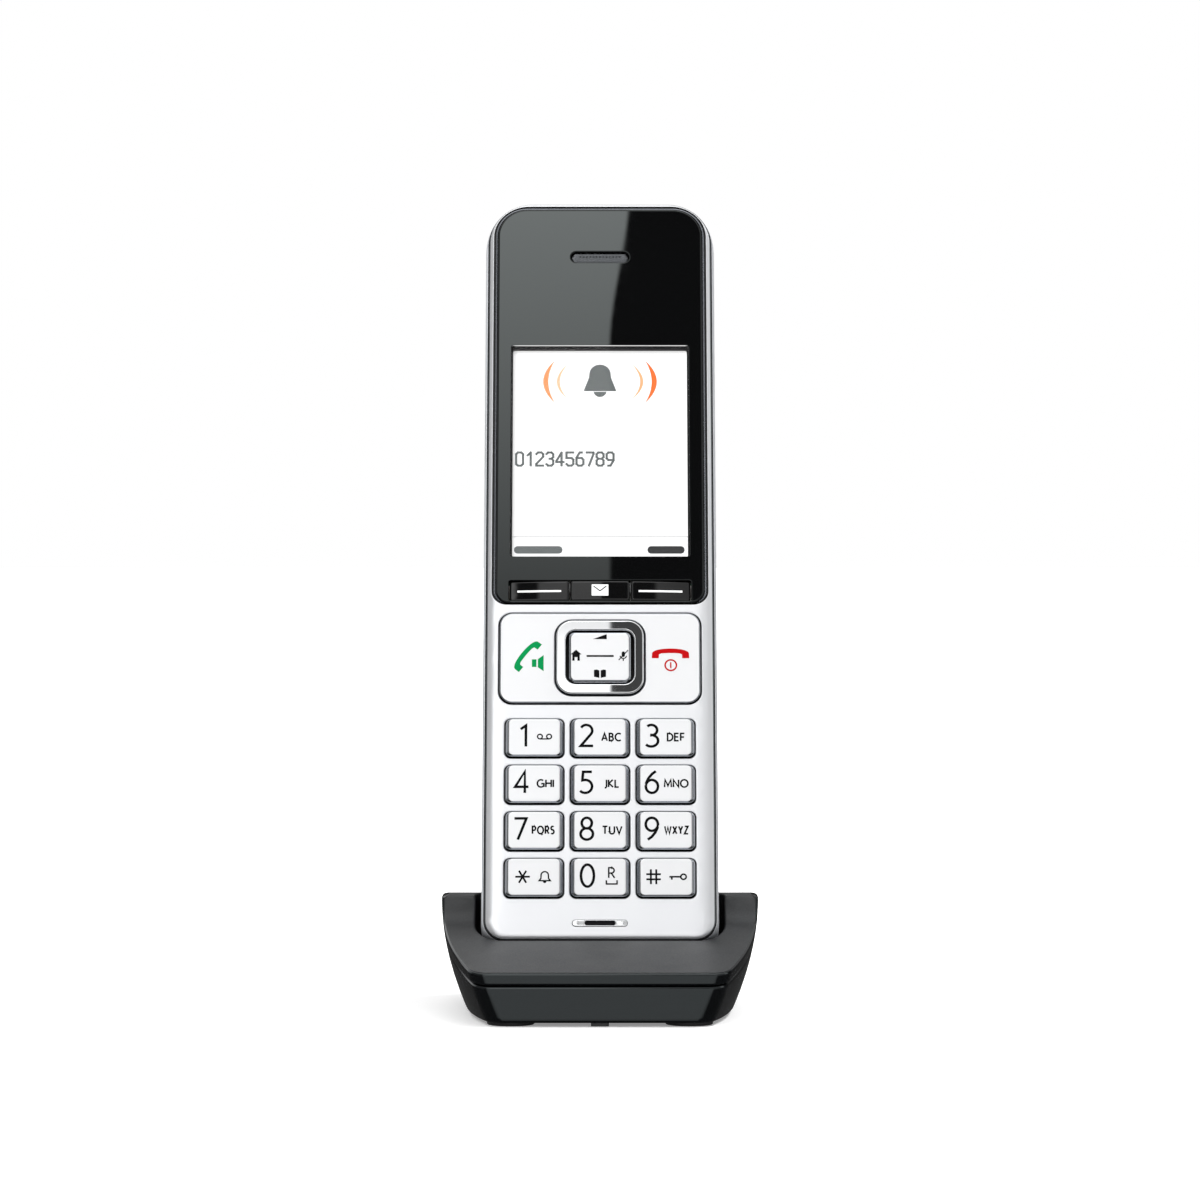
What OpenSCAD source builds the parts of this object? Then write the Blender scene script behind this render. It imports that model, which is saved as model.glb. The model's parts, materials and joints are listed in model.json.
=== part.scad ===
// Cordless phone handset standing in its charging cradle.
// Millimetres. +Z is up, the keypad faces -Y, +X is right seen from the front.
// The handset parts are drawn in the handset's own frame (x across, y from the
// front face to the back, z along its length) and stood in the cradle by in_cradle().

/* [Handset body] */
// Width of the handset
body_w = 49; // [47:0.5:51]
// Thickness of the handset
body_t = 21; // [20.5:0.1:22]
// Length of the handset above the cradle's lip
body_top = 165.6; // [163:0.2:170]
// Length of the handset below the cradle's lip
body_sink = 0.6; // [0.4:0.1:1]
// Radius of the top corners
top_corner_r = 10; // [8:0.5:12]
// Radius of the bottom corners
bottom_corner_r = 5; // [4:0.5:6]
// Wall thickness of the casings
wall = 1.8; // [1.4:0.1:2]
// Depth at which the front casing meets the back casing
parting = 10.8; // [10:0.1:11.5]

/* [Display] */
// Width of the glossy window panel
window_w = 43.6; // [42:0.2:44]
// Lower edge of the window panel
window_low = 73.3; // [72:0.1:74]
// Upper edge of the window panel
window_high = 163.6; // [162:0.1:164]
// Width of the picture area
picture_w = 37.8; // [36:0.2:39]
// Lower edge of the picture area
picture_low = 83.6; // [82:0.1:85]
// Upper edge of the picture area
picture_high = 131.85; // [130:0.05:133]

/* [Keys] */
// Width of a digit key
key_w = 11.9; // [11:0.1:12.6]
// Height of a digit key
key_h = 8.2; // [8:0.1:9]
// Distance between key columns
key_pitch_x = 13.6; // [13.4:0.1:14]
// Distance between key rows
key_pitch_z = 10.15; // [9.9:0.05:10.4]
// Height of the lowest row's centre
key_row_z = 12.78; // [12:0.1:13.5]
// How far the key faces stand out of the casing
key_proud = 0.9; // [0.6:0.1:1.2]
// Width of the talk and end plate
call_w = 41.85; // [41:0.05:42.5]
// Height of the talk and end plate
call_h = 19.9; // [19:0.1:20.2]
// Height of the navigation ring's centre
nav_z = 60.9; // [60:0.1:61.5]

/* [Cradle] */
// Angle at which the handset leans back
lean = 22; // [18:1:25]
// Distance from the cradle's front face to the handset
seat_y = 23.3; // [22:0.1:25]
// Height of the cradle's lip under the handset's front face
seat_z = 16.1; // [15.5:0.1:17]
// Depth of the cradle from front to back
cradle_d = 78; // [74:1:84]
// Largest half width of the cradle
cradle_half_w = 32.9; // [32:0.1:34]
// Height of the cradle's arms
arm_z = 23.7; // [23:0.1:25]
// Wall thickness of the cradle
cradle_wall = 1.8; // [1.6:0.1:2.2]
// Height of the feet
foot_h = 0.8; // [0.6:0.1:1]

/* [Hidden] */
key_names = [
    ["key_1", "key_2", "key_3"],
    ["key_4", "key_5", "key_6"],
    ["key_7", "key_8", "key_9"],
    ["key_star", "key_0", "key_hash"],
];

silver = [0.80, 0.81, 0.83];
satin_white = [0.90, 0.91, 0.92];
black = [0.03, 0.03, 0.035];
charcoal = [0.12, 0.13, 0.14];
board_green = [0.05, 0.30, 0.16];
steel = [0.62, 0.63, 0.65];
gold = [0.83, 0.68, 0.35];

// Depth, side draw-in and end draw-in of the handset's outline from front to back
front_rings = [[0, 3.2, 1.3], [0.25, 1.8, 0.6], [0.9, 0.8, 0.3], [3.2, 0.15, 0.05], [5, 0, 0]];
back_end = 3.6;
back_rings = [
    [13, 0, 0], [16.2, 0.9, 0.3], [18.6, 2.6, 0.9], [20.3, 5, 2], [body_t, 8, back_end],
];

// The whole object is centred front to back on the origin.
object_d = seat_y + (body_top - back_end) * sin(lean) + body_t * cos(lean);
mid_y = object_d / 2;

// Depths in the handset, from the front face
window_y = [-0.3, 0.9];      // window panel
window_top_r = 6.2;
lcd_y = [1.9, 3.3];          // glass of the display
light_y = [3.3, 5.4];        // light guide behind it
mat_y = [4.2, 5.4];          // silicone key mat
dome_y = [5.5, 5.7];         // foil with the snap domes
board_y = [5.8, 6.8];        // main board
shield_y = [6.8, 7.8];       // radio shield
bay_y = [8.0, 19.2];         // battery bay
cover_y = 19.4;              // inner face of the battery cover
battery_r = 5.25;            // size AAA
battery_l = 44.5;
battery_y = 13.9;
battery_low = 43.2;
cover_w = 33.4;
cover_low = 37;
cover_high = 98;
fit_gap = 0.2;               // gap around caps and covers
softkey_w = 12.5;
softkey_h = 4.5;
softkey_z = 75.9;
softkey_pitch = 12.7;
ring_w = 18.3;
ring_h = 16.3;
screw_at = [[-14.6, 49.3], [14.6, 49.3]];
pad_x = 9;                   // charging contacts, left and right of the middle
pad_y = 13;

// Side clearance of the pocket that the handset stands in
pocket_gap = 1.3;
floor_gap = 0.15;
cradle_screw_at = [[-17, 16], [17, 16], [-20, 58], [20, 58]];
foot_at = [[-18, 6.2], [18, 6.2], [-17, 70], [17, 70]];
foot_r = 4.8;
socket_x = 0;
socket_z = 6.2;

// ---------- shared shapes ----------

// Rounded rectangle made of true arcs
module rounded(w, h, r) {
    square([w - 2 * r, h], center = true);
    square([w, h - 2 * r], center = true);
    for (x = [-1, 1], y = [-1, 1])
        translate([x * (w / 2 - r), y * (h / 2 - r)]) circle(r, $fn = 48);
}

// A rounded plate parallel to the handset's face, between two depths
module slab(w, h, r, y0, y1, x = 0, z = 0) {
    translate([x, y1, z]) rotate([90, 0, 0])
        linear_extrude(y1 - y0) rounded(w, h, r);
}

// The same plate given by its lower and upper edges
module slab_between(w, low, high, r, y0, y1) {
    slab(w, high - low, r, y0, y1, 0, (low + high) / 2);
}

// A round peg or hole along the handset's depth
module depth_rod(r, y0, y1, x = 0, z = 0) {
    translate([x, y1, z]) rotate([90, 0, 0]) cylinder(h = y1 - y0, r = r, $fn = 48);
}

// Stands the handset's frame in the cradle
module in_cradle() {
    translate([0, seat_y - mid_y, seat_z]) rotate([-lean, 0, 0]) children();
}

// Moves the cradle, drawn with its front face at y = 0, to its place
module at_desk() {
    translate([0, -mid_y, 0]) children();
}

// Points of an arc about (cx, cy)
function arc(cx, cy, r, a0, a1, n) =
    [for (i = [0:n]) let (a = a0 + (a1 - a0) * i / n) [cx + r * cos(a), cy + r * sin(a)]];

// Outline with large corners at the top and small ones at the bottom
function body_outline(half, low, high, rt, rb) = concat(
    arc(half - rt, high - rt, rt, 0, 90, 9),
    arc(-half + rt, high - rt, rt, 90, 180, 9),
    arc(-half + rb, low + rb, rb, 180, 270, 7),
    arc(half - rb, low + rb, rb, 270, 360, 7)
);

// One ring of the handset's outline, drawn in by side and end, as (x, y, z) points
function body_ring(y, side, end, grow) = [
    for (p = body_outline(
        body_w / 2 - side + grow,
        -body_sink + end - grow,
        body_top - end + grow,
        top_corner_r - min(side, 6) + grow,
        bottom_corner_r - min(side, 3.5) + grow
    )) [p[0], y, p[1]]
];

// Closed skin over rings that run from front to back
module ring_loft(rings) {
    n = len(rings[0]);
    last = len(rings) - 1;
    polyhedron(
        points = [for (ring = rings) each ring],
        faces = concat(
            [[for (i = [n - 1:-1:0]) i]],
            [for (k = [0:last - 1], i = [0:n - 1]) let (j = (i + 1) % n)
                [k * n + i, k * n + j, (k + 1) * n + j, (k + 1) * n + i]],
            [[for (i = [0:n - 1]) last * n + i]]
        ),
        convexity = 4
    );
}

// The handset's whole outer shape
module body_solid() {
    ring_loft([for (r = concat(front_rings, back_rings)) body_ring(r[0], r[1], r[2], 0)]);
}

// Everything in front of, or behind, the casings' parting plane
module half_space(front) {
    y0 = front ? -5 : parting;
    y1 = front ? parting : body_t + 5;
    translate([-40, y0, -20]) cube([80, y1 - y0, 220]);
}

// ---------- cradle ----------

// Half width of the cradle at a height, at its widest
flare = 5.6;                         // how much narrower the foot of the cradle is
flare_z = 23;                        // height up to which the sides flare
arm_edge = 0.7;                      // rounding of the arms' outer edges
function flank(z) =
    cradle_half_w - flare * pow(1 - min(z, flare_z) / flare_z, 1.9)
        - 0.9 * pow(max(0, z - arm_z + arm_edge) / arm_edge, 2.5);
widest_y = 46;
nose = 5.5;                          // how much the sides draw in towards the front
nose_corner = [2.8, 3];              // reach of a front corner across and in depth
// Half width of the cradle's plan at a depth and height
function plan_half(y, z) =
    let (
        side = y < widest_y ? flank(z) - nose * pow(1 - y / widest_y, 2.5)
            : flank(z) - 0.0055 * pow(y - widest_y, 2),
        front_corner = y < nose_corner[1]
            ? nose_corner[0] * (1 - sqrt(1 - pow(1 - y / nose_corner[1], 2))) : 0,
        back = cradle_d - y,
        back_corner = back < 12 ? 9 * (1 - sqrt(1 - pow(1 - back / 12, 2))) : 0
    )
    side - front_corner - back_corner;
plan_steps = 24;
function plan_y(i) = cradle_d * (1 - cos(180 * i / plan_steps)) / 2;
// Plan outline at a height, drawn in by inset all round
function plan_outline(z, inset) = concat(
    [for (i = [0:plan_steps])
        [plan_half(plan_y(i), z) - inset, max(inset, min(cradle_d - inset, plan_y(i)))]],
    [for (i = [plan_steps:-1:0])
        [-plan_half(plan_y(i), z) + inset, max(inset, min(cradle_d - inset, plan_y(i)))]]
);
cradle_levels = concat([foot_h, 2.2, 4.2, 7, 11, 16, 20.5], [for (d = [1.3, 0.7, 0.3, 0]) arm_z - d]);

module plan_slice(z, inset) {
    translate([0, 0, z]) linear_extrude(0.01) polygon(plan_outline(z, inset));
}

// The flared cradle body without its sloping top
module cradle_loft() {
    for (i = [0:len(cradle_levels) - 2])
        hull() {
            plan_slice(cradle_levels[i], 0);
            plan_slice(cradle_levels[i + 1], 0);
        }
}

// Room inside the cradle
module cradle_room() {
    hull()
        for (z = cradle_levels)
            plan_slice(max(z, foot_h + cradle_wall), cradle_wall);
}

// A side profile (y, z) carried across the whole width
module across(points) {
    translate([-45, 0, 0]) rotate([90, 0, 90]) linear_extrude(90) polygon(points);
}

lip_z = 10.8;                        // height of the top at the front face
top_slope = tan(12);
cove_r = 7;                          // hollow between the sloping top and the arms
cove_y = 33.5;
crest_y = 46;                        // depth up to which the arms' tops are level
crest_r = 18;                        // rounding behind them
// Top of the cradle from front to back, lowered by drop
function top_line(drop) =
    let (
        z0 = lip_z - drop,
        cove_z = z0 + top_slope * cove_y,
        cy = cove_y - cove_r * sin(12),
        cz = cove_z + cove_r * cos(12),
        end = cy + cove_r * cos(-22),
        crest = arm_z - drop
    )
    concat(
        [[-2, z0 - 2 * top_slope]],
        arc(cy, cz, cove_r, -78, -22, 8),
        arc(end + 1.5, crest - 1.3, 1.3, 160, 90, 4),
        [[crest_y, crest]],
        arc(crest_y, crest - crest_r, crest_r, 88, 62, 4),
        [[cradle_d - 2, 16.2 - drop], [cradle_d + 2, 13.4 - drop]]
    );
// Joint between the two shells, parallel to the top at the front
function joint_line() = [
    [-2, 7.97], [0, 8.35], [38, 15.57], [46, 16.6], [54, 16.4], [66, 13.8], [cradle_d + 2, 11.2],
];

module under(line) {
    across(concat([[-2, -5]], line, [[cradle_d + 2, -5]]));
}

// Spine behind the handset that keeps it from tipping back
module backrest_solid(inset = 0) {
    intersection() {
        translate([0, 90, 0]) rotate([90, 0, 0]) linear_extrude(90) hull() {
            for (s = [-1, 1]) {
                translate([s * (13.5 - inset), 32.5 - inset]) circle(4.5, $fn = 32);
                translate([s * (19 - inset), 12]) circle(2, $fn = 24);
            }
        }
        across([[44, 10 + inset], [53.5 + inset, 39 - inset], [57 - inset, 38.5 - inset],
            [62 - inset, 32], [68 - inset, 21], [72 - inset, 10 + inset]]);
    }
}

// Space that the handset takes in the cradle, grown by a clearance
module handset_room(grow, below, behind) {
    in_pocket_frame() intersection() {
        ring_loft([for (r = concat([[-25, 0, 0]], back_rings))
            body_ring(r[0] + (r[0] > 0 ? behind : 0), r[1] * 0.92, r[2] * 0.4, grow)]);
        translate([-40, -30, -body_sink - below]) cube([80, 60, 200]);
    }
}

module pocket() {
    handset_room(pocket_gap, floor_gap, 0.35);
}

// The handset's frame while the cradle is still at its own place
module in_pocket_frame() {
    translate([0, seat_y, seat_z]) rotate([-lean, 0, 0]) children();
}

// Two slots in the pocket's floor for the contact blades
module blade_slots() {
    in_pocket_frame() for (s = [-1, 1])
        translate([s * pad_x - 1.8, pad_y - 3.2, -8]) cube([3.6, 6.4, 12]);
}

module cradle_top_shell() {
    color(charcoal) at_desk() difference() {
        union() {
            difference() {
                union() {
                    intersection() {
                        cradle_loft();
                        under(top_line(0));
                    }
                    backrest_solid();
                }
                under(joint_line());
                intersection() {
                    cradle_room();
                    under(top_line(cradle_wall));
                }
                backrest_solid(1.7);
            }
            pocket_walls();
        }
        pocket();
        blade_slots();
        screw_pilots();
    }
}

// Walls and floor round the pocket, down to the joint with the base
module pocket_walls() {
    intersection() {
        handset_room(pocket_gap + 1.4, floor_gap + 1.5, 1.9);
        in_pocket_frame() translate([-40, -3, -10]) cube([80, 60, 70]);
        union() {
            intersection() {
                cradle_loft();
                under(top_line(0.02));
            }
            backrest_solid();
        }
        translate([-40, 1, 3.2]) cube([80, 90, 60]);
    }
    // bosses for the screws, up to the underside of the top
    intersection() {
        for (p = cradle_screw_at)
            translate([p[0], p[1], 4.4]) cylinder(h = 20, r = 2.6, $fn = 32);
        under(top_line(0.6));
    }
}

module screw_pilots() {
    for (p = cradle_screw_at)
        translate([p[0], p[1], 4.3]) cylinder(h = 5.6, r = 1.05, $fn = 32);
}

module cradle_base_shell() {
    color(black) at_desk() difference() {
        union() {
            difference() {
                intersection() {
                    cradle_loft();
                    translate([0, 0, -0.12]) under(joint_line());
                }
                cradle_room();
            }
            // bosses that the screws pull against
            for (p = cradle_screw_at)
                translate([p[0], p[1], foot_h]) cylinder(h = 3.5, r = 3, $fn = 32);
            // board pillars and socket cradle
            for (x = [-12, 12])
                translate([x, 30, foot_h]) cylinder(h = 2.4, r = 1.6, $fn = 24);
            // small tab under the front edge
            translate([-1.8, 0.4, 0.1]) cube([3.6, 3, 1.5]);
        }
        for (p = cradle_screw_at) {
            translate([p[0], p[1], 0]) cylinder(h = 6, r = 1.25, $fn = 32);
            translate([p[0], p[1], 0]) cylinder(h = 2.4, r = 2.3, $fn = 32);
        }
        // window for the power plug
        translate([socket_x - 4.6, cradle_d - 9, socket_z - 3.6]) cube([9.2, 12, 7.2]);
    }
}

module cradle_feet() {
    color([0.09, 0.09, 0.1]) at_desk()
        for (p = foot_at)
            translate([p[0], p[1], 0]) cylinder(h = foot_h, r = foot_r, $fn = 48);
}

module contact_blade(side) {
    in_cradle() translate([side * pad_x, 0, 0]) {
        color(gold) {
            translate([-1.3, pad_y - 0.8, -4.6]) cube([2.6, 1.6, 3.2]);
            translate([-1.3, pad_y, -body_sink - 0.85]) rotate([0, 90, 0])
                cylinder(h = 2.6, r = 0.8, $fn = 40);
            translate([-1.3, pad_y - 0.8, -4.9]) cube([2.6, 3.4, 0.4]);
        }
    }
}

module contact_blade_left() contact_blade(-1);
module contact_blade_right() contact_blade(1);

module cradle_board() {
    color(board_green) at_desk() difference() {
        union() {
            translate([-14.5, 26, foot_h + 2.4]) cube([29, 42, 1]);
            // spring seats of the two contacts, and small parts
            for (x = [-pad_x, pad_x])
                translate([x - 1.6, 31, foot_h + 3.4]) cube([3.2, 4, 0.6]);
            translate([-4, 42, foot_h + 3.4]) cube([8, 4, 0.9]);
        }
        for (x = [-12, 12])
            translate([x, 30, 0]) cylinder(h = 8, r = 0.8, $fn = 24);
    }
}

module power_socket() {
    color(black) at_desk() difference() {
        translate([socket_x - 4.5, cradle_d - 10.6, socket_z - 3.0 + 1.05])
            cube([9, 10.6 - 0.9, 4.95]);
        translate([socket_x - 3.8, cradle_d - 9.6, socket_z - 2.05 + 0.6])
            cube([7.6, 12, 4.3]);
    }
}

module cradle_screws() {
    color(steel) at_desk()
        for (p = cradle_screw_at) {
            translate([p[0], p[1], 1.1]) cylinder(h = 1.25, r = 2.0, $fn = 32);
            translate([p[0], p[1], 1.1]) cylinder(h = 7.5, r = 1.0, $fn = 32);
        }
}

// ---------- handset casings ----------

function key_centre(row, column) =
    [(column - 1) * key_pitch_x, key_row_z + (3 - row) * key_pitch_z];

// Cut-outs of the twelve digit keys
module key_openings(y0, y1, gap) {
    for (row = [0:3], column = [0:2])
        let (p = key_centre(row, column))
            slab(key_w + 2 * gap, key_h + 2 * gap, 1.1 + gap, y0, y1, p[0], p[1]);
}

module front_casing() {
    color(silver) in_cradle() difference() {
        union() {
            difference() {
                intersection() {
                    body_solid();
                    half_space(true);
                }
                // room inside
                slab_between(body_w - 2 * wall, wall - body_sink, body_top - wall, 5, wall, parting + 1);
            }
            // pillars that the back's screws go into
            for (p = screw_at)
                depth_rod(1.35, wall - 0.1, parting, p[0], p[1]);
        }
        // sunk seat of the window with a groove round it
        window_plate(0.9, 0.35, -3, window_y[1]);
        slab_between(picture_w + 0.6, picture_low - 0.5, picture_high + 0.5, 0.8, -3, 4);
        slab(3 * softkey_pitch + 0.4, softkey_h + 0.4, 0.5, -3, 4, 0, softkey_z);
        slab(11.5, 1.8, 0.85, -3, 4, 0, 152.45);
        key_openings(-3, 4, fit_gap);
        slab(call_w + 2 * fit_gap, call_h + 2 * fit_gap, 2.9, -3, 4, 0, nav_z);
        // pockets for the rocker's two pivot pins
        translate([0, 1.1, nav_z - call_h / 2 - 1.3]) cylinder(h = call_h + 2.6, r = 0.56, $fn = 40);
        // seat of the microphone trim
        slab(11.3 + 0.1, 1.36 + 0.1, 0.7, -3, 1.0, 0, 3.1);
        slab(5.4, 0.9, 0.4, -3, 4, 0, 3.1);
        for (p = screw_at)
            depth_rod(0.8, 3, parting + 1, p[0], p[1]);
    }
}

// The window's outline, grown at the sides and top, and at the bottom
module window_plate(grow, grow_low, y0, y1) {
    translate([0, y1, 0]) rotate([90, 0, 0]) linear_extrude(y1 - y0)
        polygon(body_outline(window_w / 2 + grow, window_low - grow_low, window_high + grow,
            window_top_r + grow, 2.7 + grow_low));
}

module back_casing() {
    color(charcoal) in_cradle() difference() {
        union() {
            difference() {
                intersection() {
                    body_solid();
                    half_space(false);
                }
                // room inside, shallower under the cover
                difference() {
                    hull() {
                        slab_between(body_w - 2 * wall, wall - body_sink, body_top - wall, 5, parting - 1, 14);
                        slab_between(body_w - 12, 4, body_top - 6, 5, parting - 1, body_t - wall);
                    }
                    slab_between(cover_w + 3.4, cover_low - 1.7, cover_high + 1.7, 2, 17.6, 30);
                }
                slab_between(cover_w + 2 * fit_gap, cover_low - fit_gap, cover_high + fit_gap,
                    2.2, cover_y - 0.1, 30);
            }
            // walls of the battery bay
            slab_between(24.2, battery_low - 3.6, battery_low + battery_l + 3.6, 1, bay_y[0], bay_y[1] - 0.3);
            for (p = screw_at)
                depth_rod(2.4, parting, 18.5, p[0], p[1]);
            // tabs that snap inside the front casing
            for (x = [-14, 0, 14]) {
                translate([x - 2.5, parting - 1.6, body_top - wall - 1.5]) cube([5, 4, 1.4]);
                translate([x - 2.5, parting + 0.4, body_top - wall - 1]) cube([5, 2, 1.5]);
            }
            for (x = [-18, 18])
                translate([x - 1.5, parting - 1.6, wall - body_sink + 0.1]) cube([3, 2.4, 1.4]);
        }
        slab_between(22.2, battery_low - 2.6, battery_low + battery_l + 2.6, 0.6, bay_y[0] + 0.5, 30);
        for (p = screw_at) {
            depth_rod(1.1, parting - 1, 30, p[0], p[1]);
            depth_rod(2.0, 17.9, 30, p[0], p[1]);
        }
        // seats of the charging pads in the bottom
        for (s = [-1, 1])
            translate([s * pad_x - 3.05, pad_y - 1.85, -body_sink - 1])
                cube([6.1, 3.7, 1.62]);
        // sound holes of the loudspeaker
        for (i = [-1:1], j = [-1:1])
            depth_rod(0.7, 15, 25, i * 3.2, 122 + j * 3.2);
        // finger notch above the cover
        depth_rod(3.4, 20.2, 30, 0, cover_high + 1.2);
    }
}

module battery_cover() {
    color(charcoal) in_cradle() difference() {
        union() {
            intersection() {
                body_solid();
                slab_between(cover_w, cover_low, cover_high, 2, cover_y, 30);
            }
            // two hooks that catch under the casing's edge
            for (x = [-9, 9])
                translate([x - 1.5, cover_y - 0.05, cover_low + 0.6]) cube([3, 0.4, 1]);
        }
        depth_rod(3.4, 20.2, 30, 0, cover_high + 1.2);
    }
}

// ---------- display, sound and electronics ----------

module display_window() {
    color(black) in_cradle() difference() {
        window_plate(0, 0, window_y[0], window_y[1]);
        // notch over the soft keys
        slab(3 * softkey_pitch + 0.3, softkey_h + 3.3, 0.5, -3, 4, 0, softkey_z - 1.5);
        slab(12.5, 2.5, 1.2, -3, 4, 0, 152.45);
    }
}

module display_gasket() {
    color([0.1, 0.1, 0.1]) in_cradle() difference() {
        slab_between(picture_w + 0.4, picture_low - 0.4, picture_high + 0.4, 0.7, 1.0, 1.8);
        slab_between(picture_w - 0.8, picture_low + 0.4, picture_high - 0.4, 0.4, 0, 4);
    }
}

module earpiece_grille() {
    color(steel) in_cradle() difference() {
        slab(12.3, 2.3, 1.1, 0.35, 0.85, 0, 152.45);
        for (i = [-3:3])
            slab(0.9, 0.9, 0.2, 0, 2, i * 1.55, 152.45);
    }
}

module earpiece_speaker() {
    color(charcoal) in_cradle() difference() {
        slab(15, 8.4, 2, 2, 4.8, 0, 152.45);
        slab(11, 4.6, 1.4, 1, 2.5, 0, 152.45);
    }
}

module lcd_glass() {
    color([0.93, 0.95, 0.97]) in_cradle() {
        slab_between(picture_w + 3, picture_low - 3, picture_high + 1.6, 0.3, lcd_y[0], lcd_y[1] - 0.05);
    }
}

module lcd_backlight() {
    color([0.95, 0.95, 0.9]) in_cradle() {
        slab_between(picture_w + 3.4, picture_low - 3, picture_high + 2, 0.4, light_y[0], light_y[1]);
        slab(14, 3.6, 0.3, light_y[0] + 0.6, light_y[0] + 1, 0, picture_low - 4.7);
    }
}

module main_board() {
    color(board_green) in_cradle() difference() {
        union() {
            slab_between(41.5, 3, 160, 3, board_y[0], board_y[1]);
            // sockets and larger parts on the back
            slab(9, 4, 0.3, board_y[1], board_y[1] + 1.2, -12, 8);
            slab(6, 3, 0.3, board_y[1], board_y[1] + 1.2, 12, 34);
            slab(4, 7, 0.3, board_y[1], board_y[1] + 1, 15, 152);
        }
        for (p = screw_at)
            depth_rod(1.7, 0, 20, p[0], p[1]);
    }
}

module rf_shield() {
    color(steel) in_cradle() difference() {
        slab_between(24, 101, 146, 0.8, shield_y[0], shield_y[1] + 1.4);
        slab_between(23.4, 101.3, 145.7, 0.6, shield_y[0] - 1, shield_y[1] + 1.1);
        for (i = [-1:1], j = [-2:2])
            depth_rod(0.7, 7, 12, i * 6, 124 + j * 8);
    }
}

module antenna() {
    color(gold) in_cradle() difference() {
        union() {
            slab(22, 5, 0.4, 8.6, 8.9, -3, 155);
            for (x = [-12, -4])
                translate([x, board_y[1], 153]) cube([1.6, 2.1, 1.6]);
        }
        slab(17, 1.2, 0.3, 8, 10, -4.8, 155.4);
    }
}

module keypad_mat() {
    color([0.75, 0.77, 0.78]) in_cradle() difference() {
        union() {
            slab_between(43, 6, 71.6, 2, mat_y[0] + 0.3, mat_y[1]);
            // raised pads under the keys
            for (row = [0:3], column = [0:2])
                let (p = key_centre(row, column))
                    depth_rod(2.6, mat_y[0], mat_y[1], p[0], p[1]);
            for (s = [-1, 1])
                depth_rod(2.6, mat_y[0] - 0.4, mat_y[1], s * 15.4, nav_z);
            // ridge that the navigation pivot rocks on
            translate([-7, 4.1, nav_z]) rotate([0, 90, 0])
                cylinder(h = 14, r = 0.35, $fn = 32);
            translate([-7, 4.1, nav_z - 0.35]) cube([14, 0.6, 0.7]);
        }
        depth_rod(2.2, 0, 8, 0, nav_z);
        for (p = screw_at)
            depth_rod(1.6, 0, 8, p[0], p[1]);
    }
}

module dome_sheet() {
    color([0.8, 0.8, 0.78]) in_cradle() difference() {
        slab_between(42, 6.5, 79.2, 1, dome_y[0], dome_y[1]);
        for (p = screw_at)
            depth_rod(1.6, 0, 8, p[0], p[1]);
    }
}

module mic_grille() {
    color(silver) in_cradle() difference() {
        slab(11.3, 1.36, 0.67, -0.12, 0.95, 0, 3.1);
        slab(6.0, 1.02, 0.5, -1, 2, 0, 3.1);
    }
}

module microphone() {
    color(steel) in_cradle() {
        depth_rod(2, 2.1, 3.7, 0, 3.4);
        for (x = [-0.8, 0.8])
            depth_rod(0.25, 3.6, board_y[0], x, 3.4);
    }
}

module loudspeaker() {
    color(charcoal) in_cradle() {
        depth_rod(9.5, 14.8, 17, 0, 122);
        depth_rod(7, 12.4, 14.9, 0, 122);
    }
}

module battery(x, up) {
    nub = up ? battery_low + battery_l - 0.8 : battery_low;
    body_low = up ? battery_low : battery_low + 0.8;
    in_cradle() {
        color([0.2, 0.45, 0.75]) translate([x, battery_y, body_low])
            cylinder(h = battery_l - 0.8, r = battery_r, $fn = 64);
        color(steel) translate([x, battery_y, nub])
            cylinder(h = 0.8, r = 1.9, $fn = 32);
    }
}

module battery_left() battery(-5.45, true);
module battery_right() battery(5.45, false);

// A plain conical-looking spring drawn as stacked rings joined by a bar
module bay_spring(x, z, up) {
    translate([x, battery_y, z]) mirror([0, 0, up ? 0 : 1]) {
        for (i = [0:2])
            translate([0, 0, i * 0.62]) rotate_extrude($fn = 48)
                translate([3.4 - i * 0.6, 0]) circle(0.22, $fn = 16);
        for (i = [0:1])
            translate([3.1 - i * 0.6, 0, i * 0.62]) cylinder(h = 0.62, r = 0.16, $fn = 16);
        translate([0, 0, -0.42]) cylinder(h = 0.3, r = 4, $fn = 48);
        translate([3.4, 0, -0.3]) cylinder(h = 0.3, r = 0.16, $fn = 16);
    }
}

module battery_springs() {
    color(steel) in_cradle() {
        bay_spring(-5.45, battery_low - 1.7, true);
        bay_spring(5.45, battery_low + battery_l + 1.7, false);
    }
}

module battery_contacts() {
    color(steel) in_cradle() {
        translate([-5.45 - 3.5, battery_y - 3.5, battery_low + battery_l + 0.1]) cube([7, 7, 0.4]);
        translate([5.45 - 3.5, battery_y - 3.5, battery_low - 0.5]) cube([7, 7, 0.4]);
    }
}

module charge_pads() {
    color(gold) in_cradle()
        for (s = [-1, 1])
            translate([s * pad_x - 3, pad_y - 1.8, -body_sink]) cube([6, 3.6, 0.6]);
}

module handset_screws() {
    color(steel) in_cradle()
        for (p = screw_at) {
            depth_rod(1.9, 17.9, 18.9, p[0], p[1]);
            depth_rod(1.0, parting, 18, p[0], p[1]);
            depth_rod(0.75, 4.5, parting + 0.1, p[0], p[1]);
        }
}

// ---------- keys ----------

// A cap whose left and right edges fall away, with its flange and plunger
module key_cap(p) {
    in_cradle() {
        hull() {
            slab(key_w, key_h, 1.1, -0.35, 1.9, p[0], p[1]);
            slab(key_w - 1.7, key_h - 0.5, 0.9, -key_proud, 0, p[0], p[1]);
        }
        slab(key_w + 0.7, key_h + 0.7, 1.2, 2.0 - 0.15, 2.9, p[0], p[1]);
        depth_rod(1.3, 2.8, 3.65, p[0], p[1]);
    }
}

module digit_key(name) {
    color(satin_white)
        for (row = [0:3], column = [0:2])
            if (key_names[row][column] == name)
                key_cap(key_centre(row, column));
}

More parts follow.
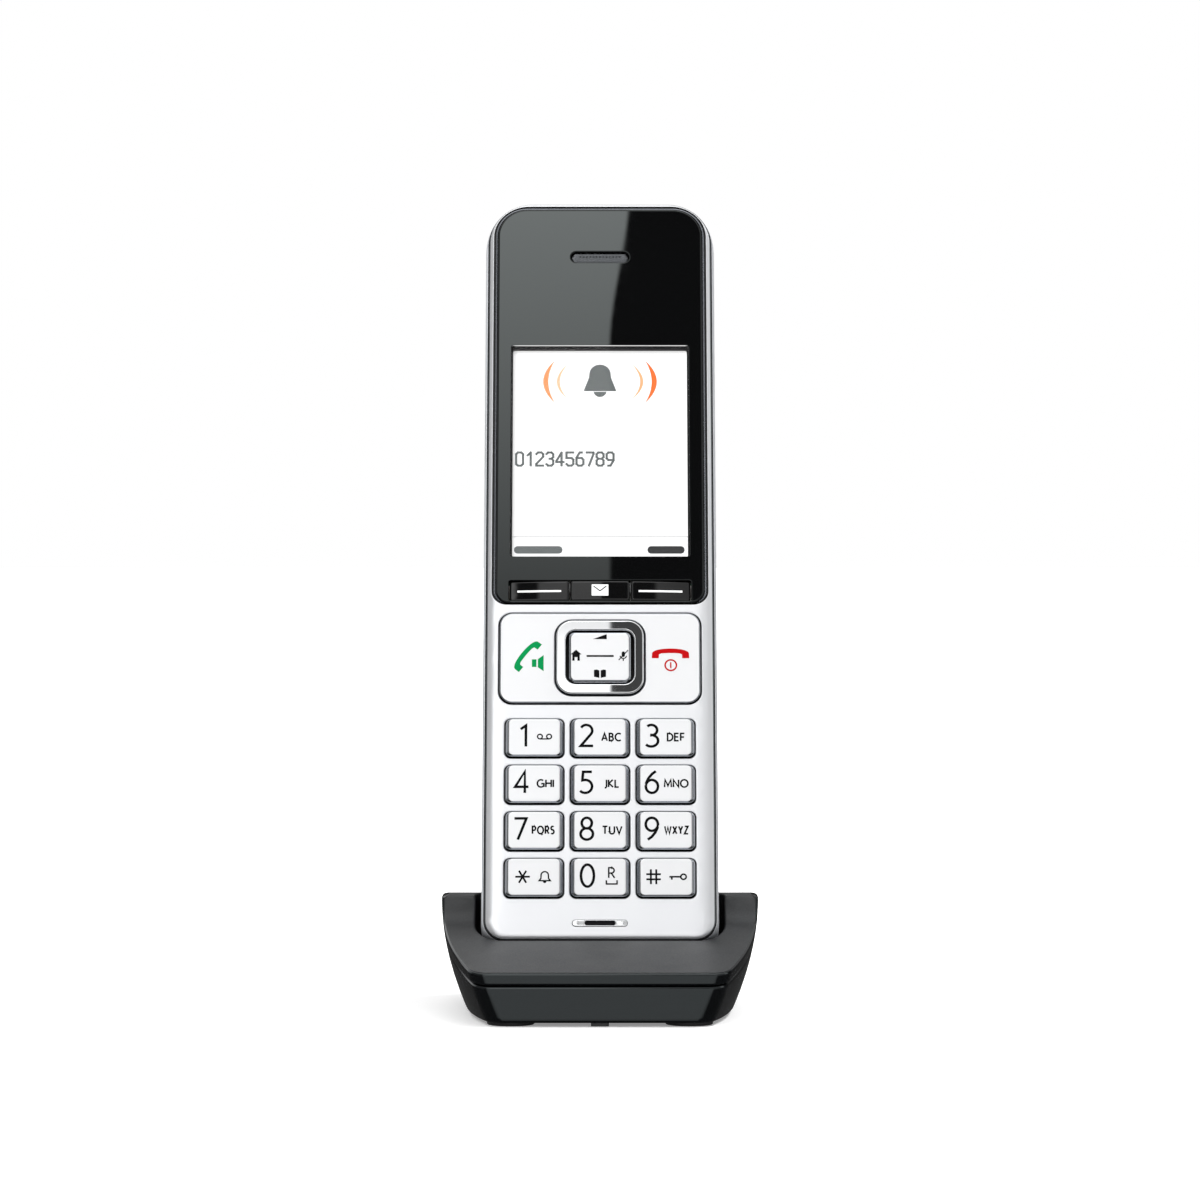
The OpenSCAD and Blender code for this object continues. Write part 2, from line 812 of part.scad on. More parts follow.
module softkey(index) {
    x = index * softkey_pitch;
    color(black) in_cradle() {
        slab(softkey_w, softkey_h, 0.35, -0.2, 1.7, x, softkey_z);
        slab(softkey_w - 1.6, softkey_h - 1.2, 0.3, 1.6, 3.2, x, softkey_z);
        depth_rod(0.9, 3.1, 4.9, x, softkey_z);
    }
}

module softkey_left() softkey(-1);
module message_key() softkey(0);
module softkey_right() softkey(1);

module call_plate() {
    color(satin_white) in_cradle() difference() {
        union() {
            slab(call_w, call_h, 2.7, -0.35, 1.9, 0, nav_z);
            for (s = [-1, 1])
                depth_rod(1.5, 1.8, 3.1, s * 15.4, nav_z);
            // pivot pins of the rocker
            translate([0, 1.1, nav_z - call_h / 2 - 1.1])
                cylinder(h = call_h + 2.2, r = 0.5, $fn = 40);
        }
        slab(ring_w + 0.6, ring_h + 0.6, 3.7, -3, 4, 0, nav_z);
    }
}

module nav_pivot() {
    color(charcoal) in_cradle() difference() {
        union() {
            slab(15.6, 13.6, 2.4, 3.0, 3.7, 0, nav_z);
            // ridge that the ring rocks on
            translate([0, 3.0, nav_z - 6]) cylinder(h = 12, r = 0.35, $fn = 32);
        }
        depth_rod(2.6, 0, 6, 0, nav_z);
    }
}

module nav_ring() {
    color([0.75, 0.77, 0.8]) in_cradle() difference() {
        union() {
            slab(ring_w, ring_h, 3.4, -1.0, 1.4, 0, nav_z);
            slab(ring_w - 1.2, ring_h - 1.2, 2.9, 1.3, 2.6, 0, nav_z);
        }
        slab(14.2, 11.9, 2.1, -3, 4, 0, nav_z);
    }
}

module nav_cap() {
    color(satin_white) in_cradle() {
        slab(13, 11.2, 1.3, -1.0, 0.9, 0, nav_z);
        depth_rod(3.2, 0.8, 1.8, 0, nav_z);
        depth_rod(1.6, 1.7, 4.9, 0, nav_z);
    }
}

cradle_top_shell();
cradle_base_shell();
cradle_feet();
contact_blade_left();
contact_blade_right();
cradle_board();
power_socket();
cradle_screws();
front_casing();
back_casing();
display_window();
display_gasket();
earpiece_grille();
earpiece_speaker();
lcd_glass();
lcd_backlight();
main_board();
rf_shield();
antenna();
keypad_mat();
dome_sheet();
mic_grille();
microphone();
loudspeaker();
battery_left();
battery_right();
battery_springs();
battery_contacts();
charge_pads();
handset_screws();
for (row = key_names, name = row)
    digit_key(name);
softkey_left();
message_key();
softkey_right();
call_plate();
nav_pivot();
nav_ring();
nav_cap();
battery_cover();
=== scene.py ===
import json
import math

import bpy
import bmesh
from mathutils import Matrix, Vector
from mathutils.geometry import delaunay_2d_cdt, tessellate_polygon


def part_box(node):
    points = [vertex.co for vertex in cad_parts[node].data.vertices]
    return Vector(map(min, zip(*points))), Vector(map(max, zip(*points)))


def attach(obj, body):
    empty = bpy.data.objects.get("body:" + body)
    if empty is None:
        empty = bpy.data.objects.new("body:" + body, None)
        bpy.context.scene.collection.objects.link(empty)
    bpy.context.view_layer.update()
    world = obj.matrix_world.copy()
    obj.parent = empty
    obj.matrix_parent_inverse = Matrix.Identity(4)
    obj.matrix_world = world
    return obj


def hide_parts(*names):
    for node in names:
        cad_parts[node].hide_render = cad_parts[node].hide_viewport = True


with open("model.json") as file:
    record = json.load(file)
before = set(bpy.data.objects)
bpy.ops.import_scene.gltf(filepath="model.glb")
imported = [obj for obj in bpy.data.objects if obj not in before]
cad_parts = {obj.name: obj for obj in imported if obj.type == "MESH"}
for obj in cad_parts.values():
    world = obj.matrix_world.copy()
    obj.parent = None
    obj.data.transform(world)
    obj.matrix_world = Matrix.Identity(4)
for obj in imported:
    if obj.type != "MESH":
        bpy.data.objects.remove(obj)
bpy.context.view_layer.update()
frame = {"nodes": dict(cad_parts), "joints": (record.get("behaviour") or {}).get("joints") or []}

# ---------------------------------------------------------------- frame
# Everything is drawn in millimetres, in one of two frames: the handset's own
# (x across, y from its front face to its back, z along its length) and the
# cradle's (x across, y from its front face to its back, z up).
MM = 0.001
BODY_SINK = 0.6
X = Vector((1, 0, 0))
joints = {j["name"]: j for j in frame["joints"]}
ALONG = Vector(joints["handset_lift"]["axis"]).normalized()
DEPTH = Vector(joints["key_1_press"]["axis"]).normalized()
LEAN = math.acos(ALONG.z)


def extent(node, direction):
    """Lowest and highest reach of a CAD node along a direction, in millimetres."""
    reach = [v.co.dot(direction) / MM for v in frame["nodes"][node].data.vertices]
    return min(reach), max(reach)


HANDSET_ORIGIN = (DEPTH * extent("front_casing", DEPTH)[0]
                  + ALONG * (extent("front_casing", ALONG)[0] + BODY_SINK)) * MM
CRADLE_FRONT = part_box("cradle_base_shell")[0].y / MM


def handset_place(p):
    return HANDSET_ORIGIN + (X * p[0] + DEPTH * p[1] + ALONG * p[2]) * MM


def cradle_place(p):
    return Vector((p[0], p[1] + CRADLE_FRONT, p[2])) * MM


def handset_extent(node, direction):
    """Reach of a node in the handset's frame, in millimetres."""
    start = HANDSET_ORIGIN.dot(direction) / MM
    low, high = extent(node, direction)
    return low - start, high - start


def handset_centre(node):
    x = handset_extent(node, X)
    z = handset_extent(node, ALONG)
    return (x[0] + x[1]) / 2, (z[0] + z[1]) / 2


# ---------------------------------------------------------------- node trees
def linear(r, g, b):
    """Linear colour from display values 0 to 255."""
    def one(c):
        c /= 255
        return c / 12.92 if c <= 0.04045 else ((c + 0.055) / 1.055) ** 2.4
    return one(r), one(g), one(b), 1.0


class Tree:
    """Small helper that adds nodes and links their inputs by name."""

    def __init__(self, owner):
        owner.use_nodes = True
        self.nodes = owner.node_tree.nodes
        self.links = owner.node_tree.links
        self.nodes.clear()

    def add(self, kind, inputs=None, **settings):
        node = self.nodes.new(kind)
        for key, value in settings.items():
            setattr(node, key, value)
        for key, value in (inputs or {}).items():
            self.set(node.inputs[key], value)
        return node

    def set(self, socket, value):
        if isinstance(value, bpy.types.NodeSocket):
            self.links.new(value, socket)
        else:
            socket.default_value = value

    def math(self, operation, a, b=0.0):
        node = self.add("ShaderNodeMath", operation=operation)
        self.set(node.inputs[0], a)
        self.set(node.inputs[1], b)
        return node.outputs[0]

    def step(self, value, low, high, start=0.0, end=1.0, smooth=True):
        """value mapped from low..high to start..end and held outside."""
        node = self.add("ShaderNodeMapRange",
                        interpolation_type="SMOOTHSTEP" if smooth else "LINEAR")
        for index, v in enumerate((value, low, high, start, end)):
            self.set(node.inputs[index], v)
        return node.outputs[0]

    def noise(self, scale, detail=2.0, stretch=None):
        coords = self.add("ShaderNodeTexCoord").outputs["Object"]
        if stretch:
            coords = self.add("ShaderNodeMapping", {"Vector": coords, "Scale": stretch}).outputs[0]
        return self.add("ShaderNodeTexNoise",
                        {"Vector": coords, "Scale": scale, "Detail": detail}).outputs["Fac"]

    def mix(self, fac, a, b):
        node = self.add("ShaderNodeMix", data_type="RGBA")
        self.set(node.inputs[0], fac)
        self.set(node.inputs[6], a)
        self.set(node.inputs[7], b)
        return node.outputs[2]


def shade(colour, factor):
    return tuple(min(1.0, c * factor) for c in colour[:3]) + (1.0,)


def finish(name, colour, rough, metal=0.0, grain=3000.0, depth=2e-6, rough_spread=0.06,
           tone=0.04, tone_scale=120.0, stretch=None, **sockets):
    """A moulded, painted or metal finish: fine grain, slight tone and gloss variation."""
    material = bpy.data.materials.new(name)
    tree = Tree(material)
    fine = tree.noise(grain, 3.0, stretch)
    broad = tree.noise(tone_scale, 3.0)
    base = tree.mix(tree.step(broad, 0.3, 0.7), shade(colour, 1 - tone), shade(colour, 1 + tone))
    speck = tree.mix(tree.step(fine, 0.35, 0.65, 0.0, 0.5), base, shade(colour, 1 - 2 * tone))
    roughness = tree.step(tree.math("ADD", tree.math("MULTIPLY", fine, 0.5),
                                    tree.math("MULTIPLY", broad, 0.5)),
                          0.3, 0.7, rough - rough_spread, rough + rough_spread, smooth=False)
    bump = tree.add("ShaderNodeBump", {"Height": fine, "Distance": depth, "Strength": 1.0})
    inputs = {"Base Color": speck, "Roughness": roughness, "Metallic": metal,
              "Normal": bump.outputs[0]}
    inputs.update({k.replace("_", " "): v for k, v in sockets.items()})
    shader = tree.add("ShaderNodeBsdfPrincipled", inputs)
    tree.add("ShaderNodeOutputMaterial", {"Surface": shader.outputs[0]})
    return material


silver = finish("silver_paint", (0.81, 0.82, 0.84, 1), 0.29, 0.85, grain=9000, depth=1.0e-6,
                rough_spread=0.015, tone=0.006)
silver_edge = finish("silver_edge", (0.74, 0.76, 0.79, 1), 0.4, 0.6, grain=6000, depth=1e-6)
crease_black = finish("crease_black", (0.008, 0.008, 0.009, 1), 0.6, Specular_IOR_Level=0.15)
seam_grey = finish("seam_grey", (0.07, 0.074, 0.08, 1), 0.4, 0.4, grain=4000, depth=1e-6)
seat_black = finish("seat_black", (0.012, 0.012, 0.013, 1), 0.3, grain=4000, depth=1e-6,
                    Specular_IOR_Level=0.3)
bezel_grey = finish("bezel_grey", (0.22, 0.23, 0.25, 1), 0.25, 1.0, grain=5000, depth=3e-7)
window_black = finish("window_black", (0.0012, 0.0012, 0.0014, 1), 0.008, grain=500, depth=1e-8,
                      rough_spread=0.006, tone=0.03, tone_scale=60,
                      Specular_Tint=(0.92, 1.0, 0.99, 1))
key_white = finish("key_satin", (0.72, 0.725, 0.735, 1), 0.3, 0.5, grain=7000, depth=2e-7,
                   rough_spread=0.02, tone=0.006)
bevel_metal = finish("bevel_metal", (0.44, 0.46, 0.49, 1), 0.12, 1.0, grain=5000, depth=2e-7)
chrome = finish("ring_chrome", (0.84, 0.85, 0.86, 1), 0.008, 1.0, grain=900, depth=1e-9,
                rough_spread=0.006, tone=0.01)
softkey_black = finish("softkey_black", (0.002, 0.002, 0.0022, 1), 0.02, grain=900, depth=1e-8,
                       rough_spread=0.01, tone=0.03)
ink_black = finish("ink_black", (0.003, 0.003, 0.0035, 1), 0.6, tone=0.05, Specular_IOR_Level=0.08)
ink_white = finish("ink_white", (0.92, 0.92, 0.92, 1), 0.5, tone=0.02)
ink_green = finish("ink_green", linear(4, 132, 70), 0.6, tone=0.05, Specular_IOR_Level=0.08)
ink_red = finish("ink_red", linear(172, 4, 10), 0.6, tone=0.05, Specular_IOR_Level=0.08)
casing_dark = finish("casing_dark", (0.022, 0.023, 0.025, 1), 0.46, grain=4200, depth=9e-6,
                     tone=0.12)
cover_dark = finish("cover_dark", (0.024, 0.025, 0.027, 1), 0.42, grain=4200, depth=9e-6,
                    tone=0.12)
cradle_matte = finish("cradle_matte", (0.019, 0.0205, 0.022, 1), 0.5, grain=3600, depth=1.6e-5,
                      rough_spread=0.08, tone=0.2)
cradle_gloss = finish("cradle_gloss", (0.002, 0.0022, 0.0026, 1), 0.06, grain=600, depth=5e-8,
                      rough_spread=0.02, tone=0.03, tone_scale=40, Specular_Tint=(0.88, 0.98, 1, 1))
rubber = finish("rubber_foot", (0.018, 0.018, 0.019, 1), 0.75, grain=2500, depth=2e-5, tone=0.15)
gold = finish("contact_gold", (0.83, 0.60, 0.26, 1), 0.24, 1.0, grain=3000, depth=8e-7,
              stretch=(1, 1, 6))
steel = finish("screw_steel", (0.56, 0.57, 0.58, 1), 0.28, 1.0, grain=3500, depth=1e-6)
grille = finish("grille_metal", (0.10, 0.105, 0.112, 1), 0.24, 1.0, grain=9000, depth=3e-6)
trim_silver = finish("mic_trim", (0.78, 0.79, 0.80, 1), 0.18, 1.0, grain=6000, depth=3e-7)
board_green = finish("board_green", (0.012, 0.11, 0.05, 1), 0.35, grain=1500, depth=6e-6,
                     tone=0.25, tone_scale=500)
tin = finish("shield_tin", (0.60, 0.60, 0.58, 1), 0.32, 1.0, grain=2600, depth=2e-6)
silicone = finish("silicone", (0.46, 0.48, 0.50, 1), 0.55, grain=2200, depth=6e-6,
                  Subsurface_Weight=0.1)
foil = finish("dome_foil", (0.62, 0.60, 0.55, 1), 0.3, 0.6, grain=2600, depth=2e-6)
foam = finish("foam", (0.02, 0.02, 0.021, 1), 0.9, grain=5200, depth=5e-5, tone=0.3)
part_black = finish("part_black", (0.015, 0.015, 0.016, 1), 0.55, grain=3000, depth=8e-6)
socket_plastic = finish("socket_plastic", (0.02, 0.02, 0.021, 1), 0.4, grain=3000, depth=4e-6)
light_guide = finish("light_guide", (0.75, 0.77, 0.76, 1), 0.2, grain=2000, depth=1e-6)


def sleeve_material():
    """Cell sleeve: a coloured wrap with a band at one end."""
    material = bpy.data.materials.new("cell_sleeve")
    tree = Tree(material)
    place = tree.add("ShaderNodeTexCoord").outputs["Object"]
    along = tree.add("ShaderNodeVectorMath", {0: place, 1: tuple(ALONG)},
                     operation="DOT_PRODUCT").outputs["Value"]
    start = (HANDSET_ORIGIN.dot(ALONG) / MM + handset_extent("battery_left", ALONG)[0]) * MM
    band = tree.step(along, start + 0.0295, start + 0.0300)
    fine = tree.noise(2600, 3.0)
    wrap = tree.mix(band, linear(34, 92, 158), linear(196, 200, 204))
    colour = tree.mix(tree.step(fine, 0.3, 0.7, 0.0, 0.25), wrap, linear(20, 40, 70))
    bump = tree.add("ShaderNodeBump", {"Height": fine, "Distance": 4e-6})
    shader = tree.add("ShaderNodeBsdfPrincipled", {
        "Base Color": colour, "Roughness": tree.step(fine, 0.3, 0.7, 0.26, 0.4),
        "Normal": bump.outputs[0], "Coat Weight": 0.3})
    tree.add("ShaderNodeOutputMaterial", {"Surface": shader.outputs[0]})
    return material


def lcd_material():
    """Backlit picture: even white, with painted shade by its left and upper edges."""
    material = bpy.data.materials.new("lcd")
    tree = Tree(material)
    place = tree.add("ShaderNodeTexCoord").outputs["Object"]
    left = PICTURE_X[0] * MM
    top = (HANDSET_ORIGIN.dot(ALONG) / MM + PICTURE_Z[1]) * MM
    across = tree.add("ShaderNodeSeparateXYZ", {0: place}).outputs[0]
    along = tree.add("ShaderNodeVectorMath", {0: place, 1: tuple(ALONG)},
                     operation="DOT_PRODUCT").outputs["Value"]
    # painted shade: the picture darkens towards its left and upper edges, where the window's edge
    # would shadow it
    side = tree.step(across, left - 0.0006, left + 0.0018, 0.30, 1.0)
    painted_top_shade = tree.step(along, top - 0.0018, top + 0.0006, 1.0, 0.35)
    level = tree.math("MULTIPLY", side, painted_top_shade)
    level = tree.math("MULTIPLY", level, tree.step(tree.noise(9000, 1.0), 0.3, 0.7, 0.99, 1.01))
    colour = tree.mix(level, (0.0, 0.0, 0.0, 1), (1.0, 1.0, 1.0, 1))
    shader = tree.add("ShaderNodeBsdfPrincipled", {
        "Base Color": (0.1, 0.1, 0.1, 1), "Roughness": 0.3, "Emission Color": colour,
        "Emission Strength": 1.05})
    tree.add("ShaderNodeOutputMaterial", {"Surface": shader.outputs[0]})
    return material


def glow(name, colour):
    """A patch of the lit picture."""
    material = bpy.data.materials.new(name)
    tree = Tree(material)
    fine = tree.noise(9000, 1.0)
    tint = tree.mix(tree.step(fine, 0.3, 0.7), shade(colour, 0.97), shade(colour, 1.03))
    shader = tree.add("ShaderNodeBsdfPrincipled", {
        "Base Color": (0.01, 0.01, 0.01, 1), "Roughness": 0.4, "Emission Color": tint,
        "Emission Strength": 1.0})
    tree.add("ShaderNodeOutputMaterial", {"Surface": shader.outputs[0]})
    return material


def lens_material():
    """Thin clear cover: see-through, with a faint gloss."""
    material = bpy.data.materials.new("display_lens")
    tree = Tree(material)
    rough = tree.step(tree.noise(400, 2.0), 0.3, 0.7, 0.0, 0.01)
    clear = tree.add("ShaderNodeBsdfTransparent", {"Color": (1, 1, 1, 1)})
    gloss = tree.add("ShaderNodeBsdfAnisotropic", {"Color": (1, 1, 1, 1), "Roughness": rough})
    weight = tree.add("ShaderNodeFresnel", {"IOR": 1.14})
    both = tree.add("ShaderNodeMixShader", {0: weight.outputs[0], 1: clear.outputs[0],
                                            2: gloss.outputs[0]})
    tree.add("ShaderNodeOutputMaterial", {"Surface": both.outputs[0]})
    return material


# ---------------------------------------------------------------- mesh code
class Shape:
    """Points in millimetres and faces, each with the number of its material."""

    def __init__(self):
        self.points, self.faces, self.kinds = [], [], []

    def ring(self, points):
        start = len(self.points)
        self.points += [tuple(p) for p in points]
        return list(range(start, len(self.points)))

    def face(self, corners, kind=0):
        self.faces.append(list(corners))
        self.kinds.append(kind)

    def bridge(self, a, b, kind=0):
        n = len(a)
        for i in range(n):
            j = (i + 1) % n
            self.face((a[i], a[j], b[j], b[i]), kind)

    def loft(self, rings, kinds=0):
        """Rings of equal length joined in turn; kinds is one number or one for each gap."""
        ids = [self.ring(r) for r in rings]
        for k in range(len(ids) - 1):
            self.bridge(ids[k], ids[k + 1], kinds if isinstance(kinds, int) else kinds[k])
        return ids

    def fill(self, loops, height, kind=0):
        """Flat filled outline (first loop) with holes (the others), at one depth."""
        flat = [[Vector((p[0], p[1], 0)) for p in loop] for loop in loops]
        ids = self.ring([(p.x, height, p.y) for loop in flat for p in loop])
        for a, b, c in tessellate_polygon(flat):
            self.face((ids[a], ids[b], ids[c]), kind)

    def stroke(self, path, width, height, kind=0, closed=False):
        """A line of constant width through flat points."""
        n = len(path)
        sides = []
        for i, p in enumerate(path):
            before = path[i - 1] if closed or i > 0 else None
            after = path[(i + 1) % n] if closed or i < n - 1 else None
            turns = []
            for a, b in ((before, p), (p, after)):
                if a is not None and b is not None:
                    d = Vector((b[0] - a[0], b[1] - a[1])).normalized()
                    turns.append(Vector((-d.y, d.x)))
            normal = sum(turns, Vector((0, 0))).normalized()
            reach = width / 2 / max(0.4, normal.dot(turns[0]))
            sides.append((p[0] + normal.x * reach, p[1] + normal.y * reach,
                          p[0] - normal.x * reach, p[1] - normal.y * reach))
        left = self.ring([(s[0], height, s[1]) for s in sides])
        right = self.ring([(s[2], height, s[3]) for s in sides])
        for i in range(n if closed else n - 1):
            j = (i + 1) % n
            self.face((left[i], left[j], right[j], right[i]), kind)

    def perforated(self, outline, holes, lift, kind=0, loose=(), clear=0.0, collar=0.0):
        """Surface between an outline and holes (2-D loops); lift gives the 3-D point.
        A collar is a narrow strip along every edge. Returns the point numbers of the
        outline and of each hole."""
        if collar:
            found = self.perforated(grown(outline, -collar), [grown(h, collar) for h in holes],
                                    lift, kind, loose, clear)
            edges = []
            for loop, ring in zip([outline] + list(holes), found):
                edges.append(self.ring([lift(p[0], p[1]) for p in loop]))
                self.bridge(edges[-1], ring, kind)
            return edges
        loops = [outline] + list(holes)
        flat, edges, spans = [], [], []
        for loop in loops:
            start = len(flat)
            flat += [Vector((p[0], p[1])) for p in loop]
            spans.append(range(start, len(flat)))
            edges += [(start + i, start + (i + 1) % len(loop)) for i in range(len(loop))]
        boxes = [box_of(loop) for loop in holes]
        for p in loose:
            if not any(near_box(p, b, clear) and inside(p, grown(h, clear))
                       for b, h in zip(boxes, holes)):
                flat.append(Vector((p[0], p[1])))
        found = delaunay_2d_cdt(flat, edges, [], 0, 1e-5)
        spot = {}
        ids = self.ring([lift(v.x, v.y) for v in found[0]])
        for new, old in enumerate(found[3]):
            for o in old:
                spot[o] = ids[new]
        for tri in found[2]:
            c = sum((found[0][k] for k in tri), Vector((0, 0))) / len(tri)
            if not inside(c, outline):
                continue
            if any(near_box(c, b, 0) and inside(c, h) for b, h in zip(boxes, holes)):
                continue
            self.face([ids[k] for k in tri], kind)
        return [[spot[i] for i in span] for span in spans]


def box_of(loop):
    return (min(p[0] for p in loop), min(p[1] for p in loop),
            max(p[0] for p in loop), max(p[1] for p in loop))


def near_box(p, box, reach):
    return (box[0] - reach <= p[0] <= box[2] + reach
            and box[1] - reach <= p[1] <= box[3] + reach)


def inside(p, loop):
    """Whether a flat point is inside a loop."""
    hit = False
    x, y = p[0], p[1]
    ax, ay = loop[-1][0], loop[-1][1]
    for q in loop:
        bx, by = q[0], q[1]
        if (ay > y) != (by > y) and x < (bx - ax) * (y - ay) / (by - ay) + ax:
            hit = not hit
        ax, ay = bx, by
    return hit


def grown(loop, amount):
    """A loop moved outwards by an amount along its own normals."""
    n = len(loop)
    area = sum(loop[i][0] * loop[(i + 1) % n][1] - loop[(i + 1) % n][0] * loop[i][1]
               for i in range(n))
    side = amount if area > 0 else -amount
    result = []
    for i in range(n):
        a, b, c = loop[i - 1], loop[i], loop[(i + 1) % n]
        t = Vector((c[0] - a[0], c[1] - a[1])).normalized()
        result.append((b[0] + t.y * side, b[1] - t.x * side))
    return result


def arc(cx, cz, r, start, end, n):
    return [(cx + r * math.cos(math.radians(start + (end - start) * i / n)),
             cz + r * math.sin(math.radians(start + (end - start) * i / n)))
            for i in range(n + 1)]


def capsule(half, low, high, top_r, low_r, n=12, ends=1, sides=1):
    """Outline with one radius for its upper corners and another for its lower ones;
    ends and sides are how many pieces its straight runs are cut into."""
    corners = ((arc(half - top_r, high - top_r, top_r, 0, 90, n), ends),
               (arc(-half + top_r, high - top_r, top_r, 90, 180, n), sides),
               (arc(-half + low_r, low + low_r, low_r, 180, 270, n), ends),
               (arc(half - low_r, low + low_r, low_r, 270, 360, n), sides))
    result = []
    for k, (corner, pieces) in enumerate(corners):
        a, b = corner[-1], corners[(k + 1) % 4][0][0]
        result += corner[:-1]
        result += [(a[0] + (b[0] - a[0]) * i / pieces, a[1] + (b[1] - a[1]) * i / pieces)
                   for i in range(pieces)]
    return result


def spread(loop, spacing):
    """The same loop with points added wherever two are further apart than spacing."""
    result = []
    for i, a in enumerate(loop):
        b = loop[(i + 1) % len(loop)]
        steps = max(1, math.ceil(math.dist(a, b) / spacing))
        result += [(a[0] + (b[0] - a[0]) * k / steps, a[1] + (b[1] - a[1]) * k / steps)
                   for k in range(steps)]
    return result


def rounded(w, h, r, x=0.0, z=0.0, n=6):
    return [(p[0] + x, p[1] + z) for p in capsule(w / 2, -h / 2, h / 2, r, r, n)]


def circle(r, x=0.0, z=0.0, n=32):
    return arc(x, z, r, 0, 360 * (n - 1) / n, n - 1)


def at_depth(loop, y):
    return [(p[0], y, p[1]) for p in loop]


def round_over(shape, last, loop, r, lift, turns, kind=0):
    """Rounds an edge off down to a loop, in steps given as turns in degrees. The radius
    is positive for the edge of a hole and negative for an outer edge; lift gives the
    3-D point for a flat point and how far it has sunk. Returns the lowest ring."""
    for turn in turns:
        a = math.radians(turn)
        sink = abs(r) * (1 - math.cos(a))
        ring = shape.ring([lift(p[0], p[1], sink) for p in grown(loop, r * (1 - math.sin(a)))])
        shape.bridge(last, ring, kind)
        last = ring
    return last


def from_depth(front):
    """The lift of a flat face at a depth in the handset's frame."""
    return lambda x, z, sink: (x, front + sink, z)


def closed_pit(shape, top, loop, y, kind=0):
    """Walls from a ring straight down to a closed floor."""
    ring = shape.ring(at_depth(loop, y))
    shape.bridge(top, ring, kind)
    shape.face(ring, kind)


def cap_ends(shape, ids, first=0, last=0):
    shape.face(ids[0], first)
    shape.face(ids[-1], last)


def make(name, shape, materials, place, body, replaces=(), sharp=38.0, weighted=True):
    """Turns a shape into an object that rides on a body."""
    mesh = bpy.data.meshes.new(name)
    mesh.from_pydata([place(p) for p in shape.points], [], shape.faces)
    for material in materials:
        mesh.materials.append(material)
    mesh.polygons.foreach_set("material_index", shape.kinds)
    bm = bmesh.new()
    bm.from_mesh(mesh)
    bmesh.ops.remove_doubles(bm, verts=bm.verts, dist=1e-7)
    bmesh.ops.recalc_face_normals(bm, faces=bm.faces)
    limit = math.radians(sharp)
    for f in bm.faces:
        f.smooth = True
    for e in bm.edges:
        if len(e.link_faces) == 2 and e.calc_face_angle(0.0) > limit:
            e.smooth = False
    bm.to_mesh(mesh)
    bm.free()
    piece = bpy.data.objects.new(name, mesh)
    bpy.context.scene.collection.objects.link(piece)
    if weighted:                     # flat faces keep even shading beside rounded edges
        modifier = piece.modifiers.new("normals", "WEIGHTED_NORMAL")
        modifier.keep_sharp = True
        modifier.weight = 90
    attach(piece, body)
    if replaces:
        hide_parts(*replaces)
    return piece


# ---------------------------------------------------------------- handset sizes
BODY_HALF = handset_extent("front_casing", X)[1]
BODY_TOP = handset_extent("front_casing", ALONG)[1]
BODY_LOW = -BODY_SINK
BODY_BACK = handset_extent("battery_cover", DEPTH)[1]
PARTING = handset_extent("back_casing", DEPTH)[0] + 1.6     # the snap tabs reach 1.6 mm forward
TOP_R, LOW_R = 10.0, 5.0
WALL = 1.8                # thickness of the handset's casings
PRINT_LIFT = 0.025        # how far the printed signs stand off their keys
END_SHARE = 0.47          # how much less the ends draw in than the sides
BACK_SHARE = 0.57         # the same for the back casing
SEAM_INSET = 1.02         # inner side of the dark seam line along that edge
FLAT_INSET = 3.2          # where the crown of the front meets its flat middle
EDGE_INSET = 0.78         # crisp front edge of the silver face
# the crown of the front as (inset from the side, depth)
CROWN = [(EDGE_INSET, 0.74), (1.0, 0.56), (1.3, 0.41), (1.8, 0.24), (2.4, 0.09), (FLAT_INSET, 0.0)]
CREASE_INSET = EDGE_INSET + 0.16

PICTURE_X = handset_extent("display_gasket", X)
PICTURE_X = (PICTURE_X[0] + 0.2, PICTURE_X[1] - 0.2)
PICTURE_Z = handset_extent("display_gasket", ALONG)
PICTURE_Z = (PICTURE_Z[0] + 0.4, PICTURE_Z[1] - 0.4)
WINDOW_HALF = handset_extent("display_window", X)[1]
WINDOW_Z = handset_extent("display_window", ALONG)
WINDOW_FRONT = handset_extent("display_window", DEPTH)[0]
WINDOW_TOP_R, WINDOW_LOW_R = 6.2, 2.7
NAV_Z = handset_centre("call_plate")[1]
CALL_W = handset_extent("call_plate", X)[1] * 2
CALL_H = 19.9
RING_W = handset_extent("nav_ring", X)[1] * 2
RING_H = handset_extent("nav_ring", ALONG)[1] - handset_extent("nav_ring", ALONG)[0]
EARPIECE_Z = handset_centre("earpiece_grille")[1]
MIC_Z = handset_centre("mic_grille")[1]
KEY_W, KEY_H = 11.9, 8.2
KEY_FACE_Y = -0.9
GAP = 0.26                # gap around the keys, the call plate and the battery cover
SOFTKEY_Z = handset_centre("message_key")[1]
SOFTKEY_W = handset_extent("message_key", X)[1] * 2
SOFTKEY_H = handset_extent("message_key", ALONG)[1] - handset_extent("message_key", ALONG)[0]
SOFTKEY_PITCH = handset_centre("softkey_right")[0]
KEYS = ["key_1", "key_2", "key_3", "key_4", "key_5", "key_6",
        "key_7", "key_8", "key_9", "key_star", "key_0", "key_hash"]
SCREWS = [(-14.6, 49.3), (14.6, 49.3)]
CONTACT_X = 9.0           # the charging contacts' distance from the middle


def outline_at(inset, share=END_SHARE, n=14, ends=20, sides=90):
    """The handset's outline drawn in by an inset at its sides, and less at its ends."""
    end = inset * share
    return capsule(BODY_HALF - inset, BODY_LOW + end, BODY_TOP - end,
                   TOP_R - min(inset, 6.0), LOW_R - min(inset, 3.5), n, ends, sides)


def crown_depth(inset):
    for (a, ya), (b, yb) in zip(CROWN, CROWN[1:]):
        if inset <= b:
            t = max(0.0, (inset - a) / (b - a))
            return ya + (yb - ya) * t
    return 0.0


